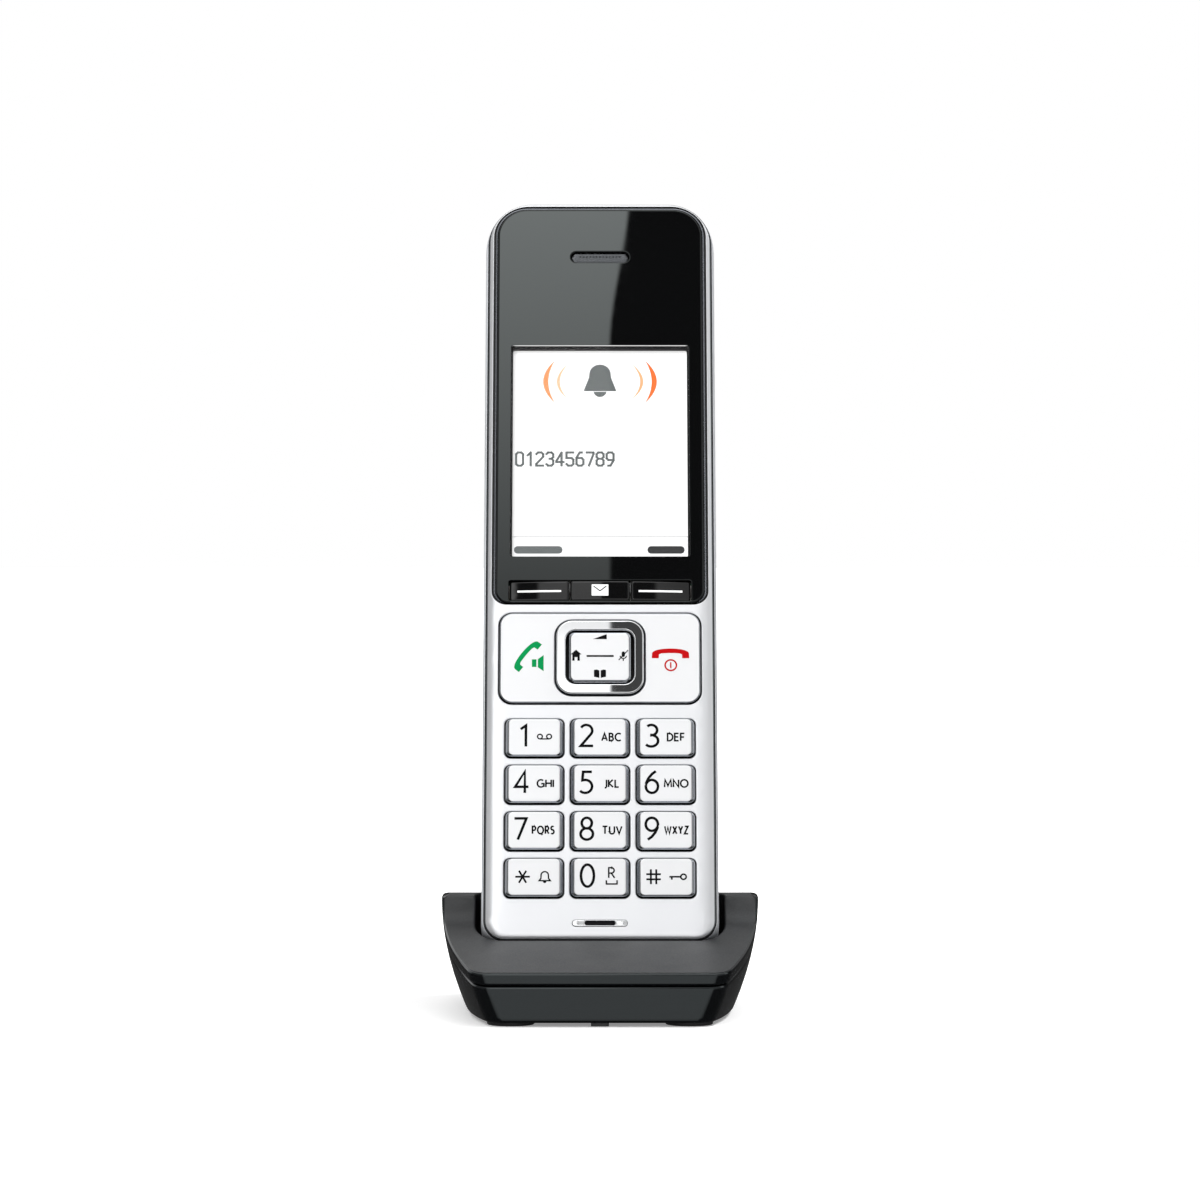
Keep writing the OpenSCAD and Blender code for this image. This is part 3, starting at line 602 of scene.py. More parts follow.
def inset_of(x, z):
    """Inset whose outline passes through a point of the front."""
    low, high = 0.0, FLAT_INSET
    for _ in range(14):
        middle = (low + high) / 2
        end = middle * END_SHARE
        half, r_top, r_low = BODY_HALF - middle, TOP_R - middle, LOW_R - min(middle, 3.5)
        top, bottom = BODY_TOP - end, BODY_LOW + end
        r = r_top if z > (top + bottom) / 2 else r_low
        dx = abs(x) - (half - r)
        dz = (z - (top - r)) if z > (top + bottom) / 2 else ((bottom + r) - z)
        out = math.hypot(dx, dz) > r if dx > 0 and dz > 0 else (dx > r or dz > r)
        low, high = (low, middle) if out else (middle, high)
    return (low + high) / 2


def on_front(x, z, sink=0.0):
    return x, crown_depth(inset_of(x, z)) + sink, z


# ---------------------------------------------------------------- handset casings
def front_casing():
    """Silver front shell: crowned face with its openings, edge, crease and side band."""
    shape = Shape()
    window = capsule(WINDOW_HALF + 0.9, WINDOW_Z[0] - 0.35, WINDOW_Z[1] + 0.9,
                     WINDOW_TOP_R + 0.9, WINDOW_LOW_R + 0.35, 12, 20, 44)
    plates = [rounded(CALL_W + 2 * GAP, CALL_H + 2 * GAP, 2.9, 0, NAV_Z, 8)]
    for key in KEYS:
        x, z = handset_centre(key)
        plates.append(rounded(KEY_W + 2 * GAP, KEY_H + 2 * GAP, 1.3, x, z))
    mic = rounded(11.4, 1.46, 0.7, 0, MIC_Z, 6)
    loops = [(window, 0.16), *((p, 0.2) for p in plates), (mic, 0.1)]
    face = [grown(loop, round_edge) for loop, round_edge in loops]
    loose = [p for inset, _ in CROWN[2:] for p in outline_at(inset)]
    rings = shape.perforated(outline_at(SEAM_INSET), face, on_front, 0, loose, 0.15, 0.1)
    back = shape.perforated(outline_at(WALL), [loop for loop, _ in loops],
                            lambda x, z: (x, WALL, z), 2)
    # rounded edges and walls of the openings
    step_y = 0.85
    for (loop, r), top, low in zip(loops, rings[1:], back[1:]):
        last = round_over(shape, top, loop, r, on_front, (30, 60, 90))
        step = shape.ring(at_depth(loop, step_y))
        shape.bridge(last, step, 3)
        shape.bridge(step, low, 3)
    # crease outside the silver face, then the side band down to the parting plane
    side = [(EDGE_INSET, crown_depth(EDGE_INSET)), (EDGE_INSET + 0.03, 0.84),
            (CREASE_INSET, 0.98), (CREASE_INSET, 1.5), (0.52, 1.56), (0.40, 1.72),
            (0.26, 2.3), (0.14, 3.2), (0.05, 4.2), (0.0, 5.4), (0.0, PARTING - 0.2),
            (0.12, PARTING - 0.05)]
    kinds = [5, 5, 3, 3, 3, 4, 4, 4, 4, 4, 4, 4]
    last = rings[0]
    for (inset, y), kind in zip(side, kinds):
        ring = shape.ring(at_depth(outline_at(inset), y))
        shape.bridge(last, ring, kind)
        last = ring
    shell = shape.ring(at_depth(outline_at(WALL), PARTING - 0.05))
    shape.bridge(last, shell, 2)
    shape.bridge(shell, back[0], 2)
    make("front_shell", shape,
         [silver, seat_black, part_black, crease_black, silver_edge, seam_grey], handset_place,
         "handset", ["front_casing"], sharp=50)


def picture_loop(grow, r):
    """Outline of the lit picture, with rounded corners."""
    return rounded(PICTURE_X[1] * 2 + grow, PICTURE_Z[1] - PICTURE_Z[0] + grow, r, 0,
                   sum(PICTURE_Z) / 2)


def window_seat():
    """Seat that the window panel is glued on."""
    seat = Shape()
    outer = capsule(WINDOW_HALF + 0.88, WINDOW_Z[0] - 0.33, WINDOW_Z[1] + 0.88,
                    WINDOW_TOP_R + 0.88, WINDOW_LOW_R + 0.33, 12)
    hole = picture_loop(0.4, 0.8)
    slot = rounded(12.8, 2.8, 1.3, 0, EARPIECE_Z)
    keys = rounded(3 * SOFTKEY_PITCH + 0.6, SOFTKEY_H + 0.5, 0.5, 0, SOFTKEY_Z)
    top = seat.perforated(outer, [hole, slot, keys], lambda x, z: (x, 0.95, z))
    low = seat.perforated(outer, [hole, slot, keys], lambda x, z: (x, 1.75, z))
    for a, b in zip(top, low):
        seat.bridge(a, b)
    make("window_seat", seat, [seat_black], handset_place, "handset")


def window_bezel():
    """Thin metal frame between the casing and the panel."""
    bezel = Shape()

    def frame_at(grow, y):
        return at_depth(capsule(WINDOW_HALF + grow, WINDOW_Z[0] - 0.25 * grow, WINDOW_Z[1] + grow,
                                WINDOW_TOP_R + grow, WINDOW_LOW_R + 0.3 * grow, 14), y)

    ids = bezel.loft([frame_at(0.12, 0.94), frame_at(0.12, 0.22), frame_at(0.2, 0.12),
                      frame_at(0.34, 0.1), frame_at(0.5, 0.22), frame_at(0.56, 0.36),
                      frame_at(0.56, 0.94)])
    bezel.bridge(ids[-1], ids[0])
    make("window_bezel", bezel, [bezel_grey], handset_place, "handset", sharp=60)


def cover_opening(grow):
    """Outline of the battery cover's recess, with the finger notch at its upper edge."""
    cover = handset_extent("battery_cover", X)[1]
    low, high = handset_extent("battery_cover", ALONG)
    half, low, high, r = cover + grow, low - grow, high + grow, 2.0 + grow
    notch_z, notch_r = high + 1.0 - grow, 3.4
    edge = math.degrees(math.asin((high - notch_z) / notch_r))
    return (arc(half - r, high - r, r, 0, 90, 6)
            + arc(0, notch_z, notch_r, edge, 180 - edge, 14)
            + arc(-half + r, high - r, r, 90, 180, 6)
            + arc(-half + r, low + r, r, 180, 270, 6)
            + arc(half - r, low + r, r, 270, 360, 6))


def back_casing():
    """Dark back shell with the battery bay, screw wells and loudspeaker holes."""
    shape = Shape()
    swell_start, swell, steps = 12.0, 7.0, 12
    profile = [(0.15, PARTING + 0.02), (0.0, PARTING + 0.2), (0.0, swell_start)]
    for k in range(1, steps + 1):
        a = math.radians(90 * k / steps)
        profile.append((swell * (1 - math.cos(a)),
                        swell_start + (BODY_BACK - swell_start) * math.sin(a)))
    rings = shape.loft([at_depth(outline_at(s, BACK_SHARE), y) for s, y in profile])
    cell_low, cell_high = handset_extent("battery_left", ALONG)
    length = cell_high - cell_low
    opening = cover_opening(GAP)
    speaker_z, pitch = handset_centre("loudspeaker")[1], 3.2
    holes = [circle(0.7, i * pitch, speaker_z + j * pitch, 16)
             for i in (-1, 0, 1) for j in (-1, 0, 1)]
    r, hole_r = 0.18, 0.12
    face = shape.perforated(outline_at(swell, BACK_SHARE),
                            [grown(opening, r)] + [grown(h, hole_r) for h in holes],
                            lambda x, z: (x, BODY_BACK, z), collar=0.12)
    shape.bridge(rings[-1], face[0])
    # recess, bay and screw wells
    recess_y, bay_y, well_y = 19.35, 8.5, 17.9
    lip = shape.ring(at_depth(opening, BODY_BACK - r * 0.9))
    shape.bridge(face[1], lip)
    bay = rounded(22.2, length + 5.2, 0.6, 0, cell_low + length / 2)
    wells = [circle(2.0, x, z, 24) for x, z in SCREWS]
    floor = shape.perforated(opening, [bay] + wells, lambda x, z: (x, recess_y, z))
    shape.bridge(lip, floor[0])
    closed_pit(shape, floor[1], bay, bay_y)
    for loop, top in zip(wells, floor[2:]):
        closed_pit(shape, top, loop, well_y)
    for loop, top in zip(holes, face[2:]):
        ring = shape.ring(at_depth(loop, BODY_BACK - 0.2))
        shape.bridge(top, ring)
        closed_pit(shape, ring, loop, BODY_BACK - 2.2)
    rim_inset = 2.2
    inner = shape.ring(at_depth(outline_at(rim_inset), PARTING + 0.02))
    deep = shape.ring(at_depth(outline_at(rim_inset), PARTING + 1.2))
    shape.bridge(rings[0], inner)
    shape.bridge(inner, deep)
    make("back_shell", shape, [casing_dark], handset_place, "handset",
         ["back_casing"], sharp=45)


def battery_cover():
    """Flat cover with a rounded edge and grip ribs."""
    shape = Shape()
    loop = cover_opening(0.0)
    y, inner_y, r = BODY_BACK, 19.45, 0.22
    rings = shape.loft([at_depth(loop, inner_y), at_depth(loop, y - r),
                        at_depth(grown(loop, -0.07), y - 0.07), at_depth(grown(loop, -r), y)])
    face = shape.perforated(grown(loop, -r), [], lambda x, z: (x, y, z), collar=0.12)
    shape.bridge(rings[-1], face[0])
    low = shape.perforated(loop, [], lambda x, z: (x, inner_y, z))
    shape.bridge(low[0], rings[0])
    # grip ribs under the notch
    top = handset_extent("battery_cover", ALONG)[1]
    for k in range(6):
        z = top - 6.5 - 1.6 * k
        w = 15 - 1.3 * k
        ids = shape.loft([at_depth(rounded(w - cut, tall, r, 0, z, 4), y - sink)
                          for cut, tall, r, sink in ((0, 0.9, 0.44, 0.05), (0.25, 0.65, 0.32, 0),
                                                     (0.6, 0.3, 0.14, 0))])
        shape.face(ids[-1])
    make("cover_plate", shape, [cover_dark], handset_place, "battery_cover",
         ["battery_cover"], sharp=50)


# ---------------------------------------------------------------- window and display
def window_panel():
    """Glossy black panel with openings for the display, the earpiece and the soft keys."""
    front, back, r = WINDOW_FRONT, 0.9, 0.32
    outer = capsule(WINDOW_HALF, WINDOW_Z[0], WINDOW_Z[1], WINDOW_TOP_R, WINDOW_LOW_R, 14)
    slot = rounded(12.5, 2.5, 1.2, 0, EARPIECE_Z, 8)
    keys_low = WINDOW_Z[0] + 0.22
    keys_high = SOFTKEY_Z + SOFTKEY_H / 2 + 0.12
    keys = rounded(3 * SOFTKEY_PITCH + 0.2, keys_high - keys_low, 0.5, 0,
                   (keys_low + keys_high) / 2)
    shape = Shape()
    holes = [(picture_loop(0, 0.5), 0.03), (slot, 0.2), (keys, 0.1)]
    face = shape.perforated(grown(outer, -r), [grown(h, e) for h, e in holes],
                            lambda x, z: (x, front, z), collar=0.04)
    last = round_over(shape, face[0], outer, -r, from_depth(front), (22, 45, 68, 90))
    rear = shape.perforated(outer, [h for h, _ in holes], lambda x, z: (x, back, z))
    shape.bridge(last, rear[0])
    for (loop, e), top, low, kind in zip(holes, face[1:], rear[1:], (1, 0, 0)):
        last = round_over(shape, top, loop, e, from_depth(front), (45, 90), kind)
        shape.bridge(last, low, kind)
    make("window_panel", shape, [window_black, crease_black], handset_place, "handset",
         ["display_window"], sharp=40)
    lens = Shape()
    loop = picture_loop(-0.02, 0.49)
    cap_ends(lens, lens.loft([at_depth(loop, 0.85), at_depth(loop, front + 0.02)]))
    make("display_lens", lens, [lens_material()], handset_place, "handset", sharp=30)


def picture():
    """What the display shows: a bell with its sound arcs, digits, a line and two plain bars. Marks
    on the left half carry a painted reflection.
    """
    shape = Shape()
    y = handset_extent("lcd_glass", DEPTH)[0] - 0.06
    # the lighter copies of dark, orange and peach hold a painted reflection of the soft box over
    # the left half of the display
    tints = {"dark_with_painted_reflection": (98, 104, 104), "dark": (28, 30, 32), "orange": (255, 116, 28),
             "orange_with_painted_reflection": (255, 160, 98), "peach": (255, 190, 136), "peach_with_painted_reflection": (255, 208, 166),
             "line": (176, 178, 178)}
    dark_with_painted_reflection, dark, orange, orange_with_painted_reflection, peach, peach_with_painted_reflection, line = range(len(tints))
    bell_z = PICTURE_Z[1] - 7.0
    body = ([(-3.5, -2.7), (-2.35, 0.4)] + arc(0, 1.15, 2.3, 165, 15, 16)
            + [(2.35, 0.4), (3.5, -2.7)])
    # the bell body takes the dark colour with the painted reflection
    for part in (body, arc(0, -2.65, 1.4, 188, 352, 12)):
        shape.fill([[(x, z + bell_z) for x, z in part]], y, dark_with_painted_reflection)
    # left arcs take the copies with the painted reflection, right arcs the plain colours
    for side, strong, weak in ((-1, orange_with_painted_reflection, peach_with_painted_reflection), (1, orange, peach)):
        for reach, tall, thick, kind in ((12.1, 4.9, 1.1, strong), (9.2, 4.15, 0.65, weak)):
            outer, inner = [], []
            for k in range(21):
                t = -1 + 2 * k / 20
                bow = (1 - t * t)
                x0 = side * (reach - 2.5 + 2.5 * bow)
                outer.append((x0, bell_z - 0.5 + t * tall))
                inner.append((x0 - side * thick * bow, bell_z - 0.5 + t * tall))
            shape.fill([outer[:-1] + inner[:0:-1]], y, kind)
    line_z = PICTURE_Z[0] + 5.25
    left, right = PICTURE_X
    shape.stroke([(left, line_z), (right, line_z)], 0.16, y, line)
    bar_z = PICTURE_Z[0] + 1.55
    # the left bar is the right bar's dark with a painted reflection
    for x0, x1, kind in ((left + 0.8, left + 11.0, dark_with_painted_reflection), (right - 8.9, right - 1.1, dark)):
        shape.fill([rounded(x1 - x0, 1.7, 0.8, (x0 + x1) / 2, bar_z + 0.75, 6)], y, kind)
    # the digits on the left half carry the painted reflection too
    digit_strokes(shape, "0123456789", left + 1.15, PICTURE_Z[1] - 25.3, 1.45, 3.0, 0.5, 2.13,
                  y, dark_with_painted_reflection)
    materials = [glow("picture_" + name, linear(*tint)) for name, tint in tints.items()]
    make("picture", shape, materials, handset_place, "handset", weighted=False)


SEGMENTS = {   # corner points of each digit on a grid of 2 by 4, joined in turn
    "0": [(0, 0.5), (0, 3.5), (0.5, 4), (1.5, 4), (2, 3.5), (2, 0.5), (1.5, 0), (0.5, 0), (0, 0.5)],
    "1": [(0.4, 3.1), (1.3, 4), (1.3, 0)],
    "2": [(0, 3.5), (0.5, 4), (1.5, 4), (2, 3.5), (2, 2.7), (0, 0.5), (0, 0), (2, 0)],
    "3": [(0, 3.5), (0.5, 4), (1.5, 4), (2, 3.5), (2, 2.6), (1.5, 2.1), (0.9, 2.1), (1.5, 2.1),
          (2, 1.6), (2, 0.5), (1.5, 0), (0.5, 0), (0, 0.5)],
    "4": [(1.5, 0), (1.5, 4), (0, 1.4), (0, 1.1), (2.1, 1.1)],
    "5": [(2, 4), (0, 4), (0, 2.3), (1.5, 2.3), (2, 1.8), (2, 0.5), (1.5, 0), (0.5, 0), (0, 0.5)],
    "6": [(1.6, 4), (0.9, 4), (0, 2.4), (0, 0.5), (0.5, 0), (1.5, 0), (2, 0.5), (2, 1.8),
          (1.5, 2.3), (0, 2.3)],
    "7": [(0, 4), (2, 4), (2, 3.5), (0.7, 0)],
    "8": [(0.5, 2.1), (0, 2.6), (0, 3.5), (0.5, 4), (1.5, 4), (2, 3.5), (2, 2.6), (1.5, 2.1),
          (0.5, 2.1), (0, 1.6), (0, 0.5), (0.5, 0), (1.5, 0), (2, 0.5), (2, 1.6), (1.5, 2.1)],
    "9": [(0.4, 0), (1.1, 0), (2, 1.6), (2, 3.5), (1.5, 4), (0.5, 4), (0, 3.5), (0, 2.2),
          (0.5, 1.7), (2, 1.7)],
}


def digit_strokes(shape, text, x, z, w, h, line, pitch, y, kind):
    """Thin square-cut digits; each straight run is its own stroke."""
    for index, digit in enumerate(text):
        path = [(x + index * pitch + a / 2 * w, z - h / 2 + b / 4 * h) for a, b in SEGMENTS[digit]]
        for a, b in zip(path, path[1:]):
            d = (Vector(b) - Vector(a)).normalized() * line * 0.4
            shape.stroke([(a[0] - d.x, a[1] - d.y), (b[0] + d.x, b[1] + d.y)], line, y, kind)


# ---------------------------------------------------------------- keys
def cap(levels, steps=6):
    """Stack of rounded rectangles given as (width, height, corner radius, depth)."""
    return [at_depth(rounded(w, h, r, 0, 0, steps), y) for w, h, r, y in levels]


def shifted(rings, x, z):
    return [[(p[0] + x, p[1], p[2] + z) for p in ring] for ring in rings]


def bow(cx, cz, rx, rz, start, end, n=14):
    """Part of an ellipse."""
    return [(cx + rx * math.cos(math.radians(start + (end - start) * i / n)),
             cz + rz * math.sin(math.radians(start + (end - start) * i / n))) for i in range(n + 1)]


P_BOWL = [(0, 0), (0, 1), (0.24, 1)] + bow(0.24, 0.735, 0.27, 0.265, 90, -90, 8) + [(0, 0.47)]
SIX = ([(0.47, 1), (0.30, 0.87), (0.15, 0.68), (0.05, 0.46)]
       + bow(0.295, 0.30, 0.265, 0.30, 170, -190, 22))
STROKES = {   # plain strokes of each character, one unit high
    "0": [bow(0.29, 0.5, 0.28, 0.5, 90, 450, 28)], "1": [[(0.02, 0.80), (0.25, 0.97), (0.25, 0)]],
    "2": [bow(0.26, 0.735, 0.26, 0.265, 150, -32, 14) + [(0.02, 0.03), (0.56, 0.03)]],
    "3": [bow(0.21, 0.76, 0.25, 0.24, 135, -90, 14) + bow(0.20, 0.265, 0.30, 0.265, 88, -140, 14)],
    "4": [[(0.44, 0), (0.44, 0.98), (0.02, 0.28), (0.60, 0.28)]],
    "5": [[(0.50, 0.97), (0.12, 0.97), (0.09, 0.58)] + bow(0.21, 0.30, 0.30, 0.30, 105, -138, 16)],
    "6": [SIX], "7": [[(0.02, 0.97), (0.54, 0.97), (0.17, 0)]],
    "8": [bow(0.28, 0.755, 0.22, 0.245, 0, 360, 22), bow(0.28, 0.26, 0.27, 0.26, 0, 360, 24)],
    "9": [[(0.57 - x, 1 - z) for x, z in SIX]],
    "A": [[(0, 0), (0.34, 1), (0.68, 0)], [(0.12, 0.33), (0.56, 0.33)]],
    "B": [[(0.24, 0.54), (0.02, 0.54), (0.02, 1)] + bow(0.24, 0.77, 0.22, 0.23, 90, -90, 8),
          [(0.02, 0.54), (0.02, 0), (0.26, 0)] + bow(0.26, 0.27, 0.26, 0.27, -90, 90, 8)],
    "C": [bow(0.44, 0.5, 0.44, 0.5, 52, 308)],
    "E": [[(0.5, 1), (0, 1), (0, 0), (0.5, 0)], [(0, 0.52), (0.44, 0.52)]],
    "D": [[(0.2, 0), (0, 0), (0, 1), (0.2, 1)] + bow(0.2, 0.5, 0.46, 0.5, 90, -90)],
    "F": [[(0.48, 1), (0, 1), (0, 0)], [(0, 0.5), (0.42, 0.5)]],
    "G": [bow(0.46, 0.5, 0.46, 0.5, 52, 310) + [(0.84, 0.12), (0.84, 0.46), (0.5, 0.46)]],
    "H": [[(0, 0), (0, 1)], [(0.68, 0), (0.68, 1)], [(0, 0.52), (0.68, 0.52)]],
    "I": [[(0, 0), (0, 1)]],
    "J": [[(0.26, 1), (0.26, 0.16)] + bow(0.06, 0.14, 0.2, 0.24, 0, -100, 6)],
    "K": [[(0, 0), (0, 1)], [(0.54, 1), (0.04, 0.5), (0.58, 0)]],
    "L": [[(0, 1), (0, 0), (0.46, 0)]],
    "M": [[(0, 0), (0.07, 1), (0.44, 0.18), (0.81, 1), (0.88, 0)]],
    "N": [[(0, 0), (0, 1), (0.66, 0), (0.66, 1)]], "O": [bow(0.47, 0.5, 0.47, 0.5, 0, 360, 22)],
    "P": [P_BOWL], "Q": [bow(0.47, 0.5, 0.47, 0.5, 0, 360, 22), [(0.5, 0.08), (0.8, -0.16)]],
    "R": [P_BOWL, [(0.24, 0.47), (0.55, 0)]], "X": [[(0, 0), (0.6, 1)], [(0, 1), (0.6, 0)]],
    "S": [bow(0.27, 0.76, 0.23, 0.24, 40, 268, 10) + bow(0.25, 0.27, 0.26, 0.27, 88, -138, 10)],
    "T": [[(0, 1), (0.64, 1)], [(0.32, 1), (0.32, 0)]],
    "U": [[(0, 1), (0, 0.32)] + bow(0.31, 0.32, 0.31, 0.34, 180, 360, 12) + [(0.62, 1)]],
    "V": [[(0, 1), (0.34, 0), (0.68, 1)]],
    "W": [[(0, 1), (0.24, 0), (0.5, 0.9), (0.76, 0), (1.0, 1)]],
    "Y": [[(0, 1), (0.31, 0.46), (0.62, 1)], [(0.31, 0.46), (0.31, 0)]],
    "Z": [[(0.02, 1), (0.56, 1), (0, 0), (0.58, 0)]],
}


def letters(shape, text, height, x, z, y, line, squeeze=1.0):
    """Characters made of plain strokes, centred on a point."""
    gap = 0.05 + line / height
    widths = [max(p[0] for path in STROKES[c] for p in path) for c in text]
    start = x - (sum(widths) * squeeze + gap * (len(text) - 1)) * height / 2
    for c, width in zip(text, widths):
        for path in STROKES[c]:
            closed = math.dist(path[0], path[-1]) < 1e-6
            points = [(start + p[0] * squeeze * height, z + (p[1] - 0.5) * height) for p in path]
            shape.stroke(points[:-1] if closed else points, line, y, 0, closed)
        start += (width * squeeze + gap) * height


def sign_messages(shape, x, z, y):
    for side in (-1, 1):
        shape.stroke(circle(0.5, x + side * 0.95, z + 0.06, 20), 0.29, y, closed=True)
    shape.stroke([(x - 0.98, z - 0.46), (x + 0.98, z - 0.46)], 0.29, y)


def sign_bell(shape, x, z, y):
    outline = ([(x - 1.15, z - 0.85), (x - 0.78, z - 0.35)] + arc(x, z + 0.35, 0.75, 180, 0, 12)
               + [(x + 0.78, z - 0.35), (x + 1.15, z - 0.85)])
    shape.stroke(outline, 0.3, y, closed=True)
    shape.fill([arc(x, z - 1.0, 0.36, 180, 360, 8)], y)


def sign_space(shape, x, z, y):
    letters(shape, "R", 2.2, x, z + 0.85, y, 0.32)
    for path in ([(x - 1.1, z - 0.75), (x - 1.1, z - 1.55)],
                 [(x - 1.22, z - 1.55), (x + 1.22, z - 1.55)],
                 [(x + 1.1, z - 1.55), (x + 1.1, z - 0.75)]):
        shape.stroke(path, 0.32, y)


def sign_lock(shape, x, z, y):
    shape.stroke(circle(0.56, x + 1.15, z, 20), 0.34, y, closed=True)
    shape.stroke([(x - 1.75, z), (x + 0.6, z)], 0.36, y)
    shape.stroke([(x - 1.25, z), (x - 1.25, z - 0.62)], 0.34, y)


LEGENDS = {   # digit, its place across the key, letters or sign, their place
    "key_1": ("1", -2.35, sign_messages, 2.1), "key_2": ("2", -2.75, "ABC", 2.35),
    "key_3": ("3", -2.75, "DEF", 2.15), "key_4": ("4", -2.6, "GHI", 2.3),
    "key_5": ("5", -2.85, "JKL", 2.4), "key_6": ("6", -2.95, "MNO", 2.15),
    "key_7": ("7", -2.85, "PQRS", 1.9), "key_8": ("8", -2.75, "TUV", 2.5),
    "key_9": ("9", -2.95, "WXYZ", 2.15), "key_star": ("*", -2.3, sign_bell, 2.25),
    "key_0": ("0", -2.6, sign_space, 2.4), "key_hash": ("#", -2.6, sign_lock, 2.4),
}


def digit_keys():
    """Twelve caps with bevelled edges, and their printed legends."""
    w, h, y = KEY_W, KEY_H, KEY_FACE_Y
    line = 0.4
    for name in KEYS:
        x, z = handset_centre(name)
        levels = [(w, h, 1.1, 1.9), (w, h, 1.1, -0.24), (w - 0.1, h - 0.06, 1.06, -0.34),
                  (w - 0.62, h - 0.2, 0.95, -0.66), (w - 0.74, h - 0.24, 0.93, -0.71),
                  (w - 1.2, h - 0.38, 0.9, -0.80), (w - 1.32, h - 0.42, 0.88, -0.84),
                  (w - 1.62, h - 0.62, 0.8, y), (w - 1.9, h - 0.9, 0.7, y - 0.004)]
        shape = Shape()
        cap_ends(shape, shape.loft(shifted(cap(levels), x, z), [1, 1, 1, 1, 1, 1, 0, 0]), 1)
        make(name + "_cap", shape, [key_white, bevel_metal], handset_place, name,
             [name], sharp=24)
        print_y = y - PRINT_LIFT
        digit, digit_x, word, word_x = LEGENDS[name]
        dx = x + digit_x
        sheet = Shape()
        if digit == "*":
            for turn in (0, 60, 120):
                a = math.radians(turn)
                d = (1.5 * math.cos(a), 1.5 * math.sin(a))
                sheet.stroke([(dx - d[0], z - d[1]), (dx + d[0], z + d[1])], line, print_y)
        elif digit == "#":
            for s in (-0.55, 0.55):
                sheet.stroke([(dx - 1.5, z + s), (dx + 1.5, z + s)], line, print_y)
                sheet.stroke([(dx + s, z - 1.6), (dx + s, z + 1.6)], line, print_y)
        else:
            letters(sheet, digit, 4.75, dx, z + 0.25, print_y, 0.56)
        if callable(word):
            word(sheet, x + word_x, z, print_y)
        else:
            squeeze = 1.0 if len(word) < 4 else 0.78
            letters(sheet, word, 1.6, x + word_x, z - 0.05, print_y, 0.35, squeeze)
        make(name + "_legend", sheet, [ink_black], handset_place, name,
             weighted=False)


SOFTKEY_RADIUS = 330.0     # the row of soft keys bows a little from left to right


def bowed(loop, sink):
    """Flat points laid on the soft keys' common curve."""
    return [(p[0], WINDOW_FRONT - 0.12 + sink + SOFTKEY_RADIUS
             - math.sqrt(SOFTKEY_RADIUS ** 2 - p[0] ** 2), p[1]) for p in loop]


def soft_keys():
    """Three glossy keys whose faces lie on one shallow curve, with their white marks."""
    w, h, z0 = SOFTKEY_W - 0.02, SOFTKEY_H, SOFTKEY_Z
    edge = 0.4                       # width of the rounded edge
    for index, name in ((-1, "softkey_left"), (0, "message_key"), (1, "softkey_right")):
        x0 = index * SOFTKEY_PITCH
        base = spread(rounded(w, h, 0.4, x0, z0, 4), 0.8)

        def drawn_in(inset):
            sx, sz = (w - 2 * inset) / w, (h - 2 * inset) / h
            return [(x0 + (p[0] - x0) * sx, z0 + (p[1] - z0) * sz) for p in base]

        shape = Shape()
        ids = shape.loft([bowed(drawn_in(inset), sink) for inset, sink in
                          ((0.0, 2.0), (0.0, 0.42), (0.09, 0.16), (0.26, 0.03), (edge, 0.0))])
        top = shape.perforated(drawn_in(edge), [], lambda x, z: bowed([(x, z)], 0.0)[0], 0,
                               [(x0 + 0.7 * k, z0 + s) for k in range(-7, 8)
                                for s in (-0.9, 0.0, 0.9)], 0.1, 0.06)
        shape.bridge(ids[-1], top[0])
        shape.face(ids[0])
        make(name + "_cap", shape, [softkey_black], handset_place, name, [name],
             sharp=35)
        mark, kinds = Shape(), [ink_white]
        if index:
            start, end = -4.6, 4.55
            mark.stroke([(x0 + start + (end - start) * k / 10, z0 - 0.1) for k in range(11)],
                        0.42, 0.0)
            mark.points = [bowed([(p[0], p[2])], -0.03)[0] for p in mark.points]
        else:                        # envelope: a white card and its flap line
            mark.fill([rounded(3.5, 2.5, 0.12, 0, z0 + 0.1, 3)], 0.0)
            card = len(mark.points)
            mark.stroke([(-1.35, z0 + 0.98), (0, z0 - 0.1), (1.35, z0 + 0.98)], 0.24, 0.0, 1)
            mark.points = [bowed([(p[0], p[2])], -0.03 if k < card else -0.045)[0]
                           for k, p in enumerate(mark.points)]
            kinds.append(ink_black)
        make(name + "_mark", mark, kinds, handset_place, name, weighted=False)


